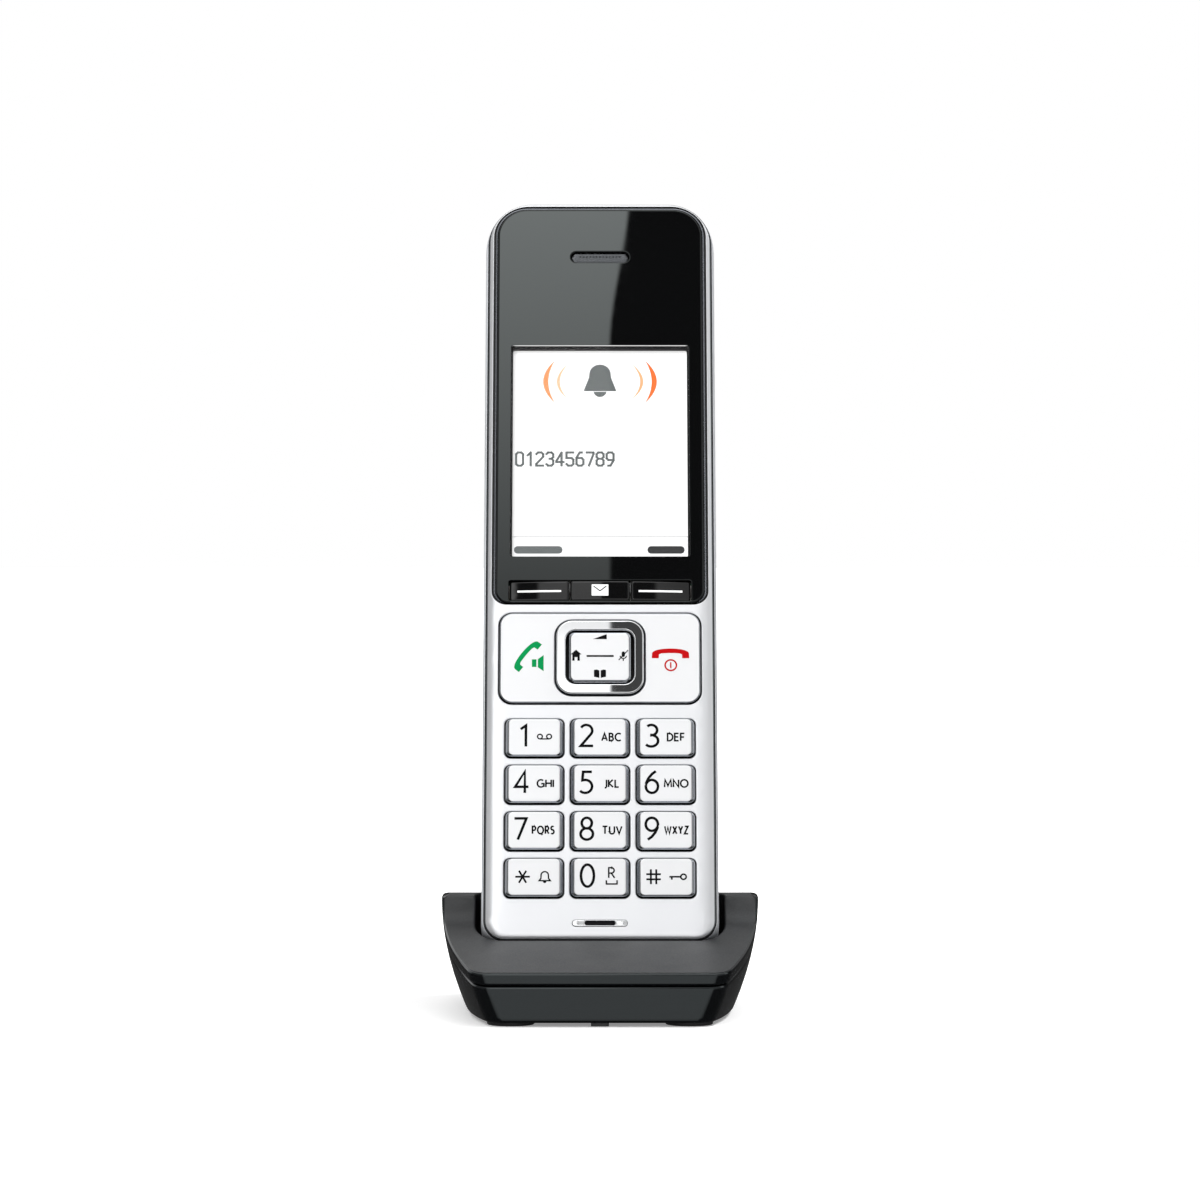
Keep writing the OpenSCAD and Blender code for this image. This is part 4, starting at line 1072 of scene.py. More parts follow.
def call_plate():
    """White plate that rocks for talk and end, with the two printed signs."""
    hole = rounded(RING_W + 0.6, RING_H + 0.6, 3.7, 0, NAV_Z, 10)
    outer = rounded(CALL_W, CALL_H, 2.7, 0, NAV_Z, 10)
    front, r = -0.35, 0.28
    shape = Shape()
    face = shape.perforated(grown(outer, -r), [grown(hole, r * 0.6)],
                            lambda x, z: (x, front, z), collar=0.1)
    last = round_over(shape, face[0], outer, -r, from_depth(front), (30, 60, 90), 1)
    rear = shape.perforated(outer, [hole], lambda x, z: (x, 1.9, z))
    shape.bridge(last, rear[0], 1)
    last = round_over(shape, face[1], hole, 0.6 * r, from_depth(front), (45, 90), 1)
    shape.bridge(last, rear[1], 1)
    make("call_plate_cap", shape, [key_white, bevel_metal], handset_place, "call_rocker",
         ["call_plate"], sharp=35)
    signs = Shape()
    y = front - PRINT_LIFT
    # talk: a receiver lying at an angle, and a small loudspeaker
    receiver = receiver_outline(3.9)
    cos, sin = math.cos(math.radians(52)), math.sin(math.radians(52))
    signs.fill([[(-15.3 + p[0] * cos - p[1] * sin, NAV_Z + 0.5 + p[0] * sin + p[1] * cos)
                 for p in receiver]], y, 0)
    sx, sz = -13.2, NAV_Z - 1.2
    for body in (((-1.0, -0.85), (-0.05, -0.85), (-0.05, 0.85), (-1.0, 0.85)),
                 ((0.25, -0.9), (1.45, -1.8), (1.45, 1.8), (0.25, 0.9))):
        signs.fill([[(sx + x, sz + z) for x, z in body]], y, 0)
    # end: a receiver lying down over the power sign
    signs.fill([[(14.7 + p[0], NAV_Z + 0.9 + p[1]) for p in receiver]], y, 1)
    power_x = 14.75
    signs.stroke(circle(1.18, power_x, NAV_Z - 1.65, 28), 0.33, y, 1, closed=True)
    signs.stroke([(power_x, NAV_Z - 1.0), (power_x, NAV_Z - 2.3)], 0.3, y, 1)
    make("call_plate_signs", signs, [ink_green, ink_red], handset_place, "call_rocker",
         weighted=False)


def receiver_outline(half):
    """A telephone receiver lying across, its two ends pointing down."""
    top = [(half * math.cos(math.radians(a)), -0.2 + 1.35 * math.sin(math.radians(a)) ** 0.75)
           for a in range(10, 171, 10)]
    foot = 1.45
    return ([(half, -1.0)] + top
            + [(-half, -1.0), (-half + foot, -1.0), (-half + foot + 0.05, -0.15)]
            + [(x, 0.02 + 0.14 * (1 - (x / 2.4) ** 2)) for x in (-1.9, -0.9, 0, 0.9, 1.9)]
            + [(half - foot - 0.05, -0.15), (half - foot, -1.0)])


def nav_ring():
    """Chrome ring with a flat band between two rounded edges."""
    shape = Shape()
    w, h, r = RING_W, RING_H, 3.4
    iw, ih, ir = 14.2, 11.9, 2.1
    front = -1.0
    outer = [(w, h, r, 2.4), (w, h, r, -0.5), (w - 0.04, h - 0.04, r - 0.02, -0.72),
             (w - 0.2, h - 0.2, r - 0.1, -0.90), (w - 0.44, h - 0.44, r - 0.22, -0.98),
             (w - 0.6, h - 0.6, r - 0.3, front), (w - 0.7, h - 0.7, r - 0.35, front)]
    inner = [(iw + 0.6, ih + 0.6, ir + 0.3, front), (iw + 0.5, ih + 0.5, ir + 0.25, front),
             (iw + 0.3, ih + 0.3, ir + 0.15, -0.96), (iw - 0.05, ih - 0.02, ir - 0.05, -0.7),
             (iw - 0.15, ih - 0.06, ir - 0.1, -0.5), (iw - 0.15, ih - 0.06, ir - 0.1, 2.4)]
    ids = shape.loft(shifted(cap(outer + inner, 12), 0, NAV_Z))
    shape.bridge(ids[-1], ids[0])
    make("nav_ring_trim", shape, [chrome], handset_place, "nav_ring", ["nav_ring"],
         sharp=40)


def nav_cap():
    """Four-way cap inside the ring, with its printed signs."""
    shape = Shape()
    w, h, r = 13.0, 11.2, 1.3
    front = -1.0
    levels = [(w - 0.1, h - 0.1, r, 1.2), (w, h, r, 1.0), (w, h, r, -0.5),
              (w - 0.1, h - 0.1, r - 0.04, -0.68), (w - 0.5, h - 0.5, r - 0.14, -0.86),
              (w - 0.95, h - 0.95, r - 0.3, -0.955), (w - 1.1, h - 1.1, r - 0.34, front),
              (w - 1.5, h - 1.5, r - 0.5, front - 0.005)]
    cap_ends(shape, shape.loft(shifted(cap(levels, 8), 0, NAV_Z), [1, 1, 1, 1, 1, 0, 0]), 1)
    make("nav_cap_face", shape, [key_white, bevel_metal], handset_place, "nav_cap",
         ["nav_cap"], sharp=35)
    signs = Shape()
    y = front - 0.03
    z = NAV_Z

    def patch(points, x=0.0):
        signs.fill([[(x + px, z + pz) for px, pz in points]], y)

    patch([(-1.5, 3.9), (1.4, 3.9), (1.4, 5.0)])
    signs.stroke([(-2.8, z + 0.15), (2.85, z + 0.15)], 0.4, y)
    # house
    house_x = -5.0
    patch([(-1.15, 0.5), (1.15, 0.5), (0, 1.55)], house_x)
    patch([(-0.78, 0.52), (-0.78, -0.9), (-0.3, -0.9), (-0.3, -0.1),
           (0.3, -0.1), (0.3, -0.9), (0.78, -0.9), (0.78, 0.52)], house_x)
    # open book
    for side in (-1, 1):
        patch([(side * 0.14, -4.7), (side * 1.25, -4.45), (side * 1.25, -2.95),
               (side * 0.7, -2.85), (side * 0.14, -3.05)])
    # microphone crossed out
    mx = 4.85
    signs.fill([capsule_at(0.34, 0.62, mx, z + 0.55)], y)
    signs.stroke(arc(mx, z + 0.25, 0.66, 185, 355, 12), 0.22, y)
    signs.stroke([(mx, z - 0.4), (mx, z - 0.95)], 0.24, y)
    signs.stroke([(mx - 0.95, z - 0.75), (mx + 1.0, z + 1.45)], 0.22, y)
    make("nav_cap_signs", signs, [ink_black], handset_place, "nav_cap",
         weighted=False)


def capsule_at(half, reach, x, z):
    return arc(x, z + reach - half, half, 0, 180, 8) + arc(x, z - reach + half, half, 180, 360, 8)


def small_parts():
    """Earpiece bar, microphone trim and charging pads."""
    bar = Shape()
    levels = [(12.2, 2.2, 1.05, 0.9), (12.2, 2.2, 1.05, 0.5), (11.9, 1.95, 0.95, 0.38),
              (11.2, 1.3, 0.62, 0.36)]
    ids = bar.loft(shifted(cap(levels, 8), 0, EARPIECE_Z))
    bar.face(ids[0])
    slots = [rounded(0.36, 1.0, 0.17, -4.2 + 0.7 * k, EARPIECE_Z, 3) for k in range(13)]
    face = bar.perforated([(p[0], p[2]) for p in (bar.points[i] for i in ids[-1])], slots,
                          lambda x, z: (x, levels[-1][3], z))
    bar.bridge(ids[-1], face[0])
    for loop, top in zip(slots, face[1:]):
        closed_pit(bar, top, loop, 0.7)
    make("earpiece_bar", bar, [grille], handset_place, "handset",
         ["earpiece_grille"], sharp=35)

    trim = Shape()
    outer = [(11.3, 1.36, 0.67, 0.9), (11.3, 1.36, 0.67, 0.0), (11.18, 1.24, 0.61, -0.1),
             (11.0, 1.1, 0.54, -0.12)]
    inner = [(6.6, 1.06, 0.52, -0.12), (6.3, 0.98, 0.48, -0.04), (6.2, 0.94, 0.46, 0.1),
             (6.2, 0.94, 0.46, 0.9)]
    ids = trim.loft(shifted(cap(outer + inner, 8), 0, MIC_Z), [0, 0, 0, 0, 0, 0, 1])
    trim.bridge(ids[-1], ids[0], 1)
    hole = trim.ring(at_depth(rounded(6.3, 1.0, 0.49, 0, MIC_Z, 8), 0.5))
    trim.face(hole, 1)
    make("mic_trim", trim, [trim_silver, crease_black], handset_place, "handset",
         ["mic_grille"], sharp=35)

    cy = sum(handset_extent("charge_pads", DEPTH)) / 2
    for side, name in ((-1, "left"), (1, "right")):
        pad = Shape()
        rings = [[(side * CONTACT_X + p[0], cy + p[1], z)
                  for p in rounded(6 - s, 3.6 - s, 0.5, n=4)]
                 for s, z in ((0, 0.0), (0, BODY_LOW - 0.02), (0.12, BODY_LOW - 0.07),
                              (0.3, BODY_LOW - 0.08))]
        cap_ends(pad, pad.loft(rings))
        make("charge_pad_" + name, pad, [gold], handset_place, "handset",
             ["charge_pads"] if side < 0 else [])


# ---------------------------------------------------------------- cradle
LEAN_SIN, LEAN_COS = math.sin(LEAN), math.cos(LEAN)
SEAT_Y = HANDSET_ORIGIN.y / MM - CRADLE_FRONT
SEAT_Z = HANDSET_ORIGIN.z / MM
CRADLE_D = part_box("cradle_base_shell")[1].y / MM - CRADLE_FRONT
CRADLE_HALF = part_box("cradle_top_shell")[1].x / MM
ARM_Z = 23.7
LIP_Z = 10.8
SLOPE = math.radians(12)
COVE_Y, COVE_R = 33.5, 7.0
CREST_Y, CREST_R = 46.0, 18.0
WIDEST_Y = 46.0
CRADLE_WALL = 1.8
FOOT_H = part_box("cradle_feet")[1].z / MM
# height of the line between the two shells, as (distance from the front, height)
JOINT = [(-2, 7.97), (0, 8.35), (38, 15.57), (46, 16.6), (54, 16.4), (66, 13.8), (80, 11.2)]


def flank(z):
    """Half width of the cradle at its widest, at a height."""
    flare, flare_z, edge, edge_in = 5.6, 23, 0.7, 0.9
    return (CRADLE_HALF - flare * (1 - min(z, flare_z) / flare_z) ** 1.9
            - edge_in * (max(0.0, z - ARM_Z + edge) / edge) ** 2.5)


def plan_half(y, z):
    """Half width of the cradle at a distance from its front and a height."""
    nose, tail, front_r, front_in, rear_r, rear_in = 5.5, 0.0055, 3, 2.8, 12, 9
    if y < WIDEST_Y:
        half = flank(z) - nose * (1 - y / WIDEST_Y) ** 2.5
    else:
        half = flank(z) - tail * (y - WIDEST_Y) ** 2
    if y < front_r:
        half -= front_in * (1 - math.sqrt(1 - (1 - y / front_r) ** 2))
    back = CRADLE_D - y
    if back < rear_r:
        half -= rear_in * (1 - math.sqrt(max(0.0, 1 - (1 - back / rear_r) ** 2)))
    return half


def polyline(points, x):
    for (a, ya), (b, yb) in zip(points, points[1:]):
        if x <= b:
            return ya + (yb - ya) * (x - a) / (b - a)
    return points[-1][1]


def joint_z(y):
    return smooth_line(JOINT, y)


def smooth_line(points, x, reach=1.5):
    """The polyline averaged over a short reach, so that its corners are round."""
    return sum(polyline(points, x + reach * k / 3) for k in range(-3, 4)) / 7


COVE_C = (COVE_Y - COVE_R * math.sin(SLOPE),
          LIP_Z + math.tan(SLOPE) * COVE_Y + COVE_R * math.cos(SLOPE))
TOP_LINE = ([(-2, LIP_Z - 2 * math.tan(SLOPE))] + arc(*COVE_C, COVE_R, -78, -22, 14)
            + arc(COVE_C[0] + COVE_R * math.cos(math.radians(-22)) + 1.5, ARM_Z - 1.3, 1.3,
                  160, 90, 8)
            + [(CREST_Y, ARM_Z)] + arc(CREST_Y, ARM_Z - CREST_R, CREST_R, 88, 62, 8)
            + [(CRADLE_D - 2, 16.2), (CRADLE_D + 2, 13.4)])


def top_z(y):
    return polyline(TOP_LINE, y)


def perimeter():
    """Stations round the plan: (side, y, share) with side -1 or 1, or 0 on the end faces."""
    rows = [CRADLE_D * (1 - math.cos(math.pi * k / 90)) / 2 for k in range(91)]
    rows = sorted(set(rows + [0.15, 0.4, 0.8, 1.4, 2.1, 3.0, CRADLE_D - 0.3]))
    stations = [(1, y, 1.0) for y in rows]
    stations += [(0, CRADLE_D, 1 - k / 8) for k in range(1, 16)]
    stations += [(-1, y, 1.0) for y in reversed(rows)]
    stations += [(0, 0.0, -1 + k / 12) for k in range(1, 24)]
    return stations


def plan_point(station, z):
    side, y, share = station
    half = plan_half(y, z)
    return (half * share, y) if side == 0 else (half * side, y)


def section(stations, heights, inset):
    """One ring: each station at its own height, and all of them drawn in by an inset."""
    loop = [plan_point(s, z) for s, z in zip(stations, heights)]
    if inset:
        moved = grown(loop, -1.0)
        loop = [(p[0] + (m[0] - p[0]) * inset, p[1] + (m[1] - p[1]) * inset)
                for p, m in zip(loop, moved)]
    return [(p[0], p[1], z) for p, z in zip(loop, heights)]


POCKET_GAP, FLOOR_Z = 1.3, -0.75
BACK_Y = BODY_BACK + 0.35


def to_cradle(x, y, z):
    """A point of the handset's frame in the cradle's frame."""
    return (x, SEAT_Y + y * LEAN_COS + z * LEAN_SIN, SEAT_Z - y * LEAN_SIN + z * LEAN_COS)


def pocket_half(z):
    """Half width of the pocket at a height over its floor, with rounded lower corners."""
    r = LOW_R + POCKET_GAP
    half = BODY_HALF + POCKET_GAP
    rise = z - FLOOR_Z
    return half if rise >= r else half - r + math.sqrt(max(0.0, r * r - (r - rise) ** 2))


def meet(function, low, high):
    """Where a falling function crosses zero."""
    for _ in range(40):
        middle = (low + high) / 2
        if function(middle) > 0:
            low = middle
        else:
            high = middle
    return (low + high) / 2


def pocket_rim():
    """Where the pocket's wall meets the top, as points of the handset's frame, one side first."""
    def over(y, z):
        p = to_cradle(0, y, z)
        return p[2] - top_z(p[1])

    side = []
    half, r = BODY_HALF + POCKET_GAP, LOW_R + POCKET_GAP
    for k in range(9):                      # rounded corner
        a = math.radians(90 * k / 8)
        z = FLOOR_Z + r * (1 - math.cos(a))
        side.append((pocket_half(z), meet(lambda y: over(y, z), -20, 21), z))
    z = FLOOR_Z + r
    straight_y = 12.5
    while True:                             # straight side
        z += 0.8
        y = meet(lambda v: over(v, z), -20, 30)
        if y > straight_y:
            break
        side.append((half, y, z))
    swell = 6.6
    for k in range(1, 13):                  # rounded back corner
        a = math.radians(90 * k / 12)
        y = straight_y + (BACK_Y - straight_y) * math.sin(a)
        z = meet(lambda v: -over(y, v), -1, 30)
        side.append((half - swell * (1 - math.cos(a)), y, z))
    return side


def cradle_top():
    """Upper shell: glossy sides, rounded edge, matt top with the pocket, and the backrest."""
    shape = Shape()
    stations = perimeter()
    edge_r, joint_gap, chamfer = 0.55, 0.05, 0.22
    tops = [top_z(s[1]) for s in stations]
    joints_z = [joint_z(s[1]) for s in stations]
    lowest = [j + joint_gap for j in joints_z]
    rings = [section(stations, lowest, CRADLE_WALL), section(stations, lowest, 0.14),
             section(stations, [j + chamfer for j in joints_z], 0.0)]
    for share in (0.15, 0.35, 0.6, 0.85, 1.0):
        rings.append(section(stations, [j + chamfer + (t - edge_r - j - chamfer) * share
                                        for j, t in zip(joints_z, tops)], 0.0))
    for turn in (22, 45, 68, 90):
        a = math.radians(turn)
        rings.append(section(stations, [t - edge_r * (1 - math.sin(a)) for t in tops],
                             edge_r * (1 - math.cos(a))))
    ids = shape.loft(rings, 1)
    # matt top with the pocket's mouth
    side = pocket_rim()
    back = [(side[-1][0] * (1 - k / 6), BACK_Y, side[-1][2]) for k in range(1, 12)]
    rim = [(-x, y, z) for x, y, z in side[::-1]] + side + back
    flat = [to_cradle(*p)[:2] for p in rim]
    lip = 0.42
    step_x, step_y = 2.4, 1.3
    grid = [(x * step_x, y * step_y) for x in range(-13, 14) for y in range(1, 60)
            if abs(x * step_x) < plan_half(min(y * step_y, CRADLE_D), top_z(y * step_y)) - 1.0]
    faces = shape.perforated([p[:2] for p in rings[-1]], [grown(flat, lip)],
                             lambda x, y: (x, y, top_z(y)), 0, grid, 0.6, 0.15)
    shape.bridge(ids[-1], faces[0], 0)
    last = round_over(shape, faces[1], flat, lip, lambda x, y, sink: (x, y, top_z(y) - sink),
                      (25, 50, 75))
    # pocket walls down to the floor
    steps = 9
    for k in range(steps + 1):
        ring = []
        for x, y, z in rim:
            low = max(z - lip * 0.95, FLOOR_Z)
            height = low + (FLOOR_Z - low) * k / steps
            ring.append(to_cradle(x * pocket_half(height) / pocket_half(z), y, height))
        ring = shape.ring(ring)
        shape.bridge(last, ring, 0)
        last = ring
    floor = [(x * pocket_half(FLOOR_Z) / pocket_half(z), y) for x, y, z in rim]
    slots = [rounded(3.6, 6.4, 0.5, side * CONTACT_X, 13.0, 3) for side in (-1, 1)]
    found = shape.perforated(floor, slots, lambda x, y: to_cradle(x, y, FLOOR_Z), 0)
    shape.bridge(last, found[0], 0)
    for loop, top in zip(slots, found[1:]):
        low = shape.ring([to_cradle(p[0], p[1], FLOOR_Z - 5) for p in loop])
        shape.bridge(top, low, 0)
    backrest(shape)
    make("cradle_top", shape, [cradle_matte, cradle_gloss], cradle_place, "cradle",
         ["cradle_top_shell"], sharp=42)


def backrest(shape):
    """Spine behind the handset: level rings between its front and its sloping back."""
    rear = [(8, 73), (10, 72), (21, 68), (32, 62), (36, 59.4), (38.6, 57.4)]
    shoulder, tip, top = 32.5, 37, 38.9      # where the sides and the end start to round off
    rings = []
    for z in (12, 15, 18, 21, 24, 27, 30, shoulder, 34.5, 36, 37.2, 38.0, 38.5, 38.75):
        height = (z - SEAT_Z + BACK_Y * LEAN_SIN) / LEAN_COS
        front = SEAT_Y + BACK_Y * LEAN_COS + height * LEAN_SIN + 0.05
        back = smooth_line(rear, z, 1.2)
        half = 21.0 - 3.0 * (z - 12) / 20.5 if z < shoulder else 18.0
        if z > shoulder:
            half = 13.5 + 4.5 * math.sqrt(1 - ((z - shoulder) / (top - shoulder)) ** 2)
            rise = max(0.0, (z - tip) / (top - tip))
            shrink = 0.5 * (back - front) * (1 - math.sqrt(1 - rise ** 2))
            front, back = front + shrink * 0.6, back - shrink * 0.9
        depth = back - front
        r = min(3.2, depth * 0.42)
        loop = ([(half, front)] + arc(half - r, back - r, r, 0, 90, 8)
                + arc(-half + r, back - r, r, 90, 180, 8) + [(-half, front)])
        rings.append([(x, y, z) for x, y in loop])
    cap_ends(shape, shape.loft(rings))


def cradle_base():
    """Lower shell: chamfered upper edge under the parting line, glossy sides, flat underside."""
    shape = Shape()
    stations = perimeter()
    line = [joint_z(s[1]) - 0.12 for s in stations]
    bottom = FOOT_H
    r_top, r_low = 0.75, 0.5
    rings = [section(stations, [z - 0.02 for z in line], 1.7),
             section(stations, line, r_top + 0.15)]
    for turn in (80, 60, 40, 20, 0):
        a = math.radians(turn)
        rings.append(section(stations, [z - r_top * (1 - math.sin(a)) for z in line],
                             r_top * (1 - math.cos(a))))
    for share in (0.2, 0.45, 0.7, 0.9, 1.0):
        rings.append(section(stations, [z - r_top + (bottom + r_low - z + r_top) * share
                                        for z in line], 0.0))
    for turn in (30, 60, 90):
        a = math.radians(turn)
        rings.append(section(stations, [bottom + r_low * (1 - math.sin(a))] * len(stations),
                             r_low * (1 - math.cos(a))))
    ids = shape.loft(rings, 0)
    screws = [circle(2.3, x, y, 24) for x, y in ((-17, 16), (17, 16), (-20, 58), (20, 58))]
    floor = shape.perforated([p[:2] for p in rings[-1]], screws, lambda x, y: (x, y, bottom), 1)
    shape.bridge(ids[-1], floor[0], 1)
    for loop, top in zip(screws, floor[1:]):
        low = shape.ring([(p[0], p[1], bottom + 1.6) for p in loop])
        shape.bridge(top, low, 1)
        shape.face(low, 1)
    # small tab under the front edge
    tab = [[(x, y, z) for x, y in rounded(3.6, 2.6, 0.4, 0, 1.9, 3)] for z in (0.12, 1.0)]
    ids = shape.loft(tab, 1)
    shape.face(ids[0], 1)
    base = make("cradle_base", shape, [cradle_gloss, cradle_matte], cradle_place, "cradle",
                ["cradle_base_shell"], sharp=42, weighted=False)
    # window for the power plug, cut through the rear wall
    corner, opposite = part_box("power_socket")
    x, z = (corner.x + opposite.x) / 2 / MM, (corner.z + opposite.z) / 2 / MM
    cutter = Shape()
    cap_ends(cutter, cutter.loft([at_depth(rounded(9.2, 7.0, 0.6, x, z - 0.1, 4), y)
                                  for y in (CRADLE_D - 9, CRADLE_D + 3)]))
    mesh = bpy.data.meshes.new("cutter")
    mesh.from_pydata([cradle_place(p) for p in cutter.points], [], cutter.faces)
    tool = bpy.data.objects.new("cutter", mesh)
    bpy.context.scene.collection.objects.link(tool)
    cut = base.modifiers.new("window", "BOOLEAN")
    cut.object, cut.operation, cut.solver = tool, "DIFFERENCE", "FAST"
    graph = bpy.context.evaluated_depsgraph_get()
    carved = bpy.data.meshes.new_from_object(base.evaluated_get(graph))
    base.modifiers.clear()
    base.data = carved
    bpy.data.objects.remove(tool)
    normals = base.modifiers.new("normals", "WEIGHTED_NORMAL")
    normals.keep_sharp = True


def cradle_feet():
    """Four round feet, each with a shallow hollow underneath."""
    for ix, side in enumerate((-1, 1)):
        for iy, (x, y) in enumerate(((18, 6.2), (17, 70.0))):
            shape = Shape()
            rings = [[(side * x + p[0], y + p[1], z) for p in circle(r, n=40)]
                     for r, z in ((4.8, FOOT_H), (4.8, 0.2), (4.65, 0.05), (4.4, 0.0), (3.2, 0.0),
                                  (3.0, 0.1), (1.2, 0.1))]
            cap_ends(shape, shape.loft(rings))
            make(f"foot_{ix}_{iy}", shape, [rubber], cradle_place, "cradle",
                 ["cradle_feet"] if ix == iy == 0 else [])


# ---------------------------------------------------------------- build the pieces
front_casing()
window_seat()
window_bezel()
back_casing()
battery_cover()
window_panel()
picture()
digit_keys()
soft_keys()
call_plate()
nav_ring()
nav_cap()
small_parts()
cradle_top()
cradle_base()
cradle_feet()

# carried-over nodes that keep their CAD shape
NODE_FINISH = {
    "contact_blade_left": gold, "contact_blade_right": gold, "cradle_board": board_green,
    "power_socket": socket_plastic, "cradle_screws": steel, "display_gasket": foam,
    "earpiece_speaker": part_black, "lcd_glass": lcd_material(), "lcd_backlight": light_guide,
    "main_board": board_green, "rf_shield": tin, "antenna": gold, "keypad_mat": silicone,
    "dome_sheet": foil, "microphone": steel, "loudspeaker": part_black,
    "battery_left": sleeve_material(), "battery_right": sleeve_material(),
    "battery_springs": steel, "battery_contacts": steel, "handset_screws": steel,
    "nav_pivot": part_black,
}
for node, material in NODE_FINISH.items():
    for slot in frame["nodes"][node].material_slots:
        slot.material = material


# ---------------------------------------------------------------- studio
def studio():
    """White room for the eye; soft boxes and dark gaps for what the gloss reflects."""
    world = bpy.data.worlds.new("studio")
    bpy.context.scene.world = world
    tree = Tree(world)
    direction = tree.add("ShaderNodeTexCoord").outputs["Generated"]
    split = tree.add("ShaderNodeSeparateXYZ", {0: direction})
    x, y, z = split.outputs[0], split.outputs[1], split.outputs[2]
    azimuth = tree.math("ARCTAN2", x, tree.math("MULTIPLY", y, -1.0))
    deg = math.radians(1)
    across = tree.math("ABSOLUTE", azimuth)

    def span(value, start, end, soft):
        return tree.math("MULTIPLY", tree.step(value, start - soft, start + soft),
                         tree.step(value, end - soft, end + soft, 1.0, 0.0))

    def blend(base, level, mask):
        """base where the mask is 0, level where it is 1."""
        return tree.math("ADD", base, tree.math(
            "MULTIPLY", tree.math("SUBTRACT", level, base), mask))

    # room: bright in front, on the left and above; dark beside and behind, so that the
    # glossy sides stay black
    side_up = tree.step(z, -0.05, 0.0)
    level = 0.05
    for strength, start, end, soft in ((1.15, -143, -97, 4), (0.3, -97, -40, 10),
                                       (0.5, 26, 74, 6), (1.4, 76, 94, 2)):
        level = blend(level, strength, tree.math(
            "MULTIPLY", side_up, span(azimuth, start * deg, end * deg, soft * deg)))
    level = blend(level, 1.0, tree.math("MULTIPLY", tree.step(z, -0.4, -0.1),
                                        tree.step(across, 20 * deg, 38 * deg, 1.0, 0.0)))
    rear = tree.math("MULTIPLY", tree.step(z, 0.22, 0.40), tree.step(across, 120 * deg, 150 * deg))
    level = blend(level, tree.step(x, -0.08, 0.08, 0.95, 0.4), rear)
    upper = tree.step(z, 0.32, 0.60)
    level = blend(level, tree.step(azimuth, -8 * deg, 12 * deg, 1.95, 0.62),
                  tree.math("MULTIPLY", upper, tree.step(across, 14 * deg, 40 * deg, 1.0, 0.0)))
    level = blend(level, 1.1, tree.step(z, 0.72, 0.90))
    level = blend(level, 2.4, tree.step(z, 0.95, 0.98))
    # what the flat gloss mirrors: a tall soft box on the left with a sharp edge, then black
    mirror = span(z, 0.56, 0.80, 0.02)
    level = blend(level, 0.06, tree.math("MULTIPLY", mirror,
                                         span(azimuth, -9 * deg, 6 * deg, 0.3 * deg)))
    edge = tree.math("SUBTRACT", azimuth, tree.step(z, 0.712, 0.732, 0.0, 0.30 * deg))
    box = tree.math("MULTIPLY", tree.step(azimuth, -6.9 * deg, -6.3 * deg),
                    tree.step(edge, 0.10 * deg, 0.18 * deg, 1.0, 0.0))
    card = tree.math("ADD", tree.step(z, 0.672, 0.735, 0.72, 4.3, smooth=False),
                     tree.step(z, 0.671, 0.677, 0.9, 0.0))
    level = blend(level, card, tree.math("MULTIPLY", mirror, box))
    lit = tree.add("ShaderNodeBackground", {"Color": (1, 1, 1, 1), "Strength": level})
    seen = tree.add("ShaderNodeBackground", {"Color": (1, 1, 1, 1), "Strength": 1.0})
    path = tree.add("ShaderNodeLightPath")
    mix = tree.add("ShaderNodeMixShader", {0: path.outputs["Is Camera Ray"],
                                           1: lit.outputs[0], 2: seen.outputs[0]})
    tree.add("ShaderNodeOutputWorld", {"Surface": mix.outputs[0]})


def lamp(name, location, target, size, power):
    """Round area light, hidden from the camera and from reflections."""
    data = bpy.data.lights.new(name, "AREA")
    data.shape = "DISK"
    data.size = size
    data.energy = power
    light = bpy.data.objects.new(name, data)
    bpy.context.scene.collection.objects.link(light)
    light.location = location
    light.rotation_euler = (Vector(target) - Vector(location)).to_track_quat("-Z", "Y").to_euler()
    light.visible_camera = False
    light.visible_glossy = False


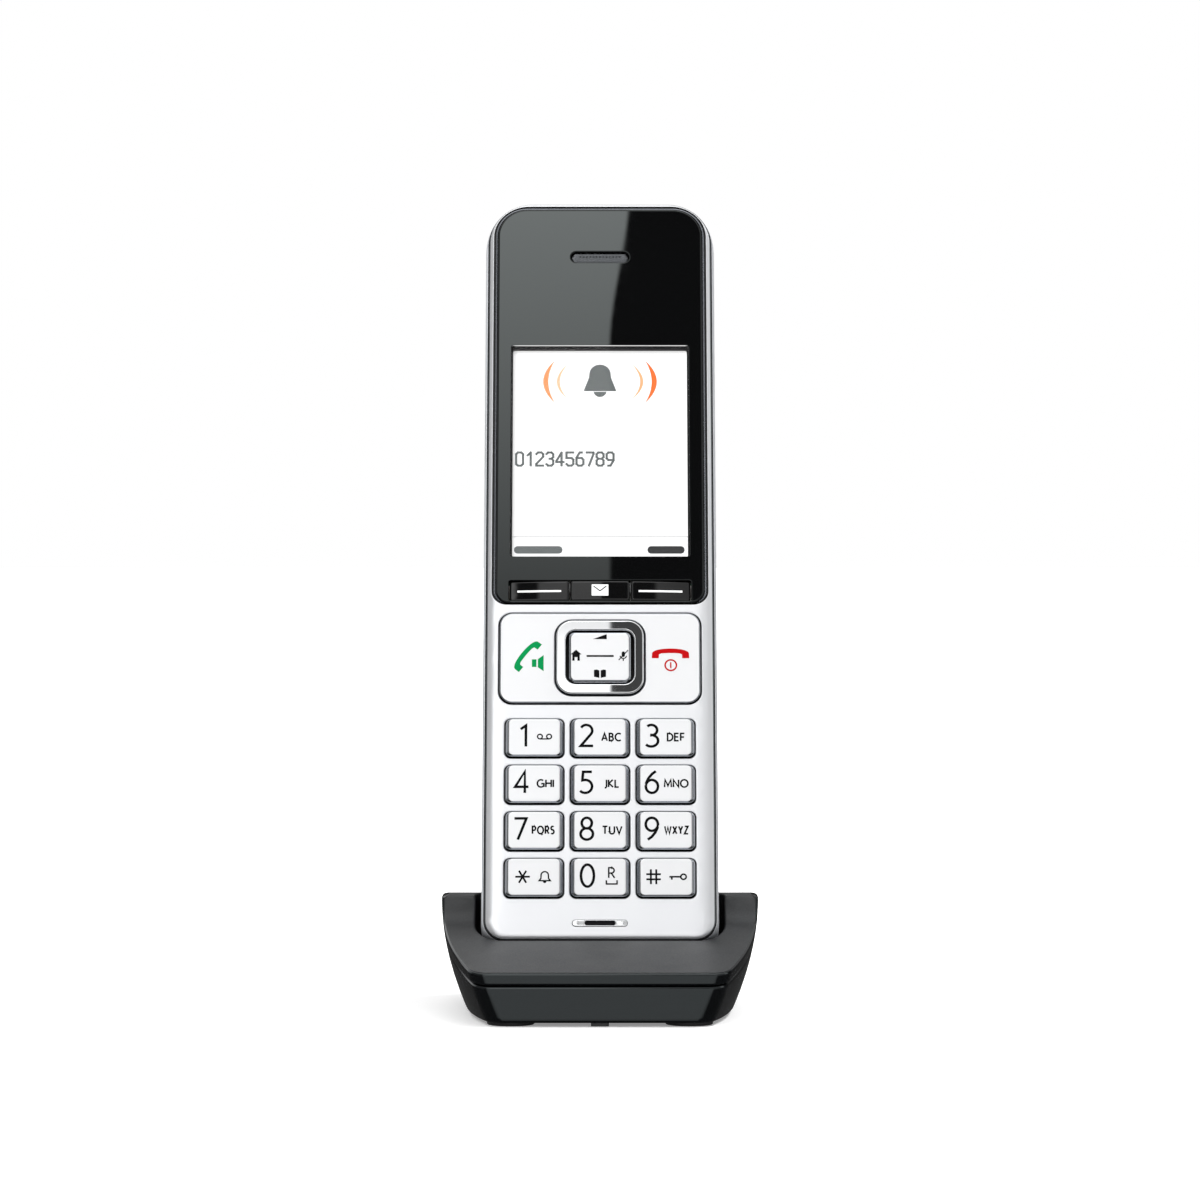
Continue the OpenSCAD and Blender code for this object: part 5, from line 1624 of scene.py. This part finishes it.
def floor():
    """White round floor that catches the shadow near the cradle and glows further out."""
    mesh = bpy.data.meshes.new("floor")
    rings = [0.15, 0.4, 1.0, 2.5, 6.0]
    points, faces = [(0, 0, 0)], []
    n = 64
    for r in rings:
        points += [(x, y, 0) for x, y in circle(r, n=n)]
    for k in range(n):
        faces.append((0, 1 + k, 1 + (k + 1) % n))
        for level in range(len(rings) - 1):
            a = 1 + level * n
            faces.append((a + k, a + n + k, a + n + (k + 1) % n, a + (k + 1) % n))
    mesh.from_pydata(points, [], faces)
    plane = bpy.data.objects.new("floor", mesh)
    bpy.context.scene.collection.objects.link(plane)
    material = bpy.data.materials.new("floor_white")
    tree = Tree(material)
    place = tree.add("ShaderNodeTexCoord").outputs["Object"]
    reach = tree.add("ShaderNodeVectorMath", {0: place}, operation="LENGTH").outputs["Value"]
    glow_out = tree.step(reach, 0.04, 0.22, 0.26, 1.0)
    grain = tree.noise(300, 2.0)
    tone = tree.mix(grain, (0.90, 0.90, 0.90, 1), (0.92, 0.92, 0.92, 1))
    shader = tree.add("ShaderNodeBsdfPrincipled", {
        "Base Color": tone, "Roughness": 0.7, "Specular IOR Level": 0.1,
        "Emission Color": (1, 1, 1, 1), "Emission Strength": glow_out})
    tree.add("ShaderNodeOutputMaterial", {"Surface": shader.outputs[0]})
    mesh.materials.append(material)
    plane.visible_glossy = False


def camera():
    """Long lens in front of the keypad, looking a little down."""
    data = bpy.data.cameras.new("camera")
    data.sensor_width = 36
    data.lens = 166.7
    data.clip_start, data.clip_end = 0.01, 50
    view = bpy.data.objects.new("camera", data)
    bpy.context.scene.collection.objects.link(view)
    view.location = (0.0, -1.164, 0.109)
    view.rotation_euler = Vector((0, 0.99978, -0.02094)).to_track_quat("-Z", "Y").to_euler()
    bpy.context.scene.camera = view


studio()
floor()
camera()
lamp("key_light", (-0.32, -0.50, 0.42), (0, 0, 0.08), 0.35, 1.5)
lamp("top_light", (0.5, 0.2, 0.75), (0, 0, 0.06), 0.25, 5.5)
bpy.context.scene.view_settings.view_transform = "Standard"
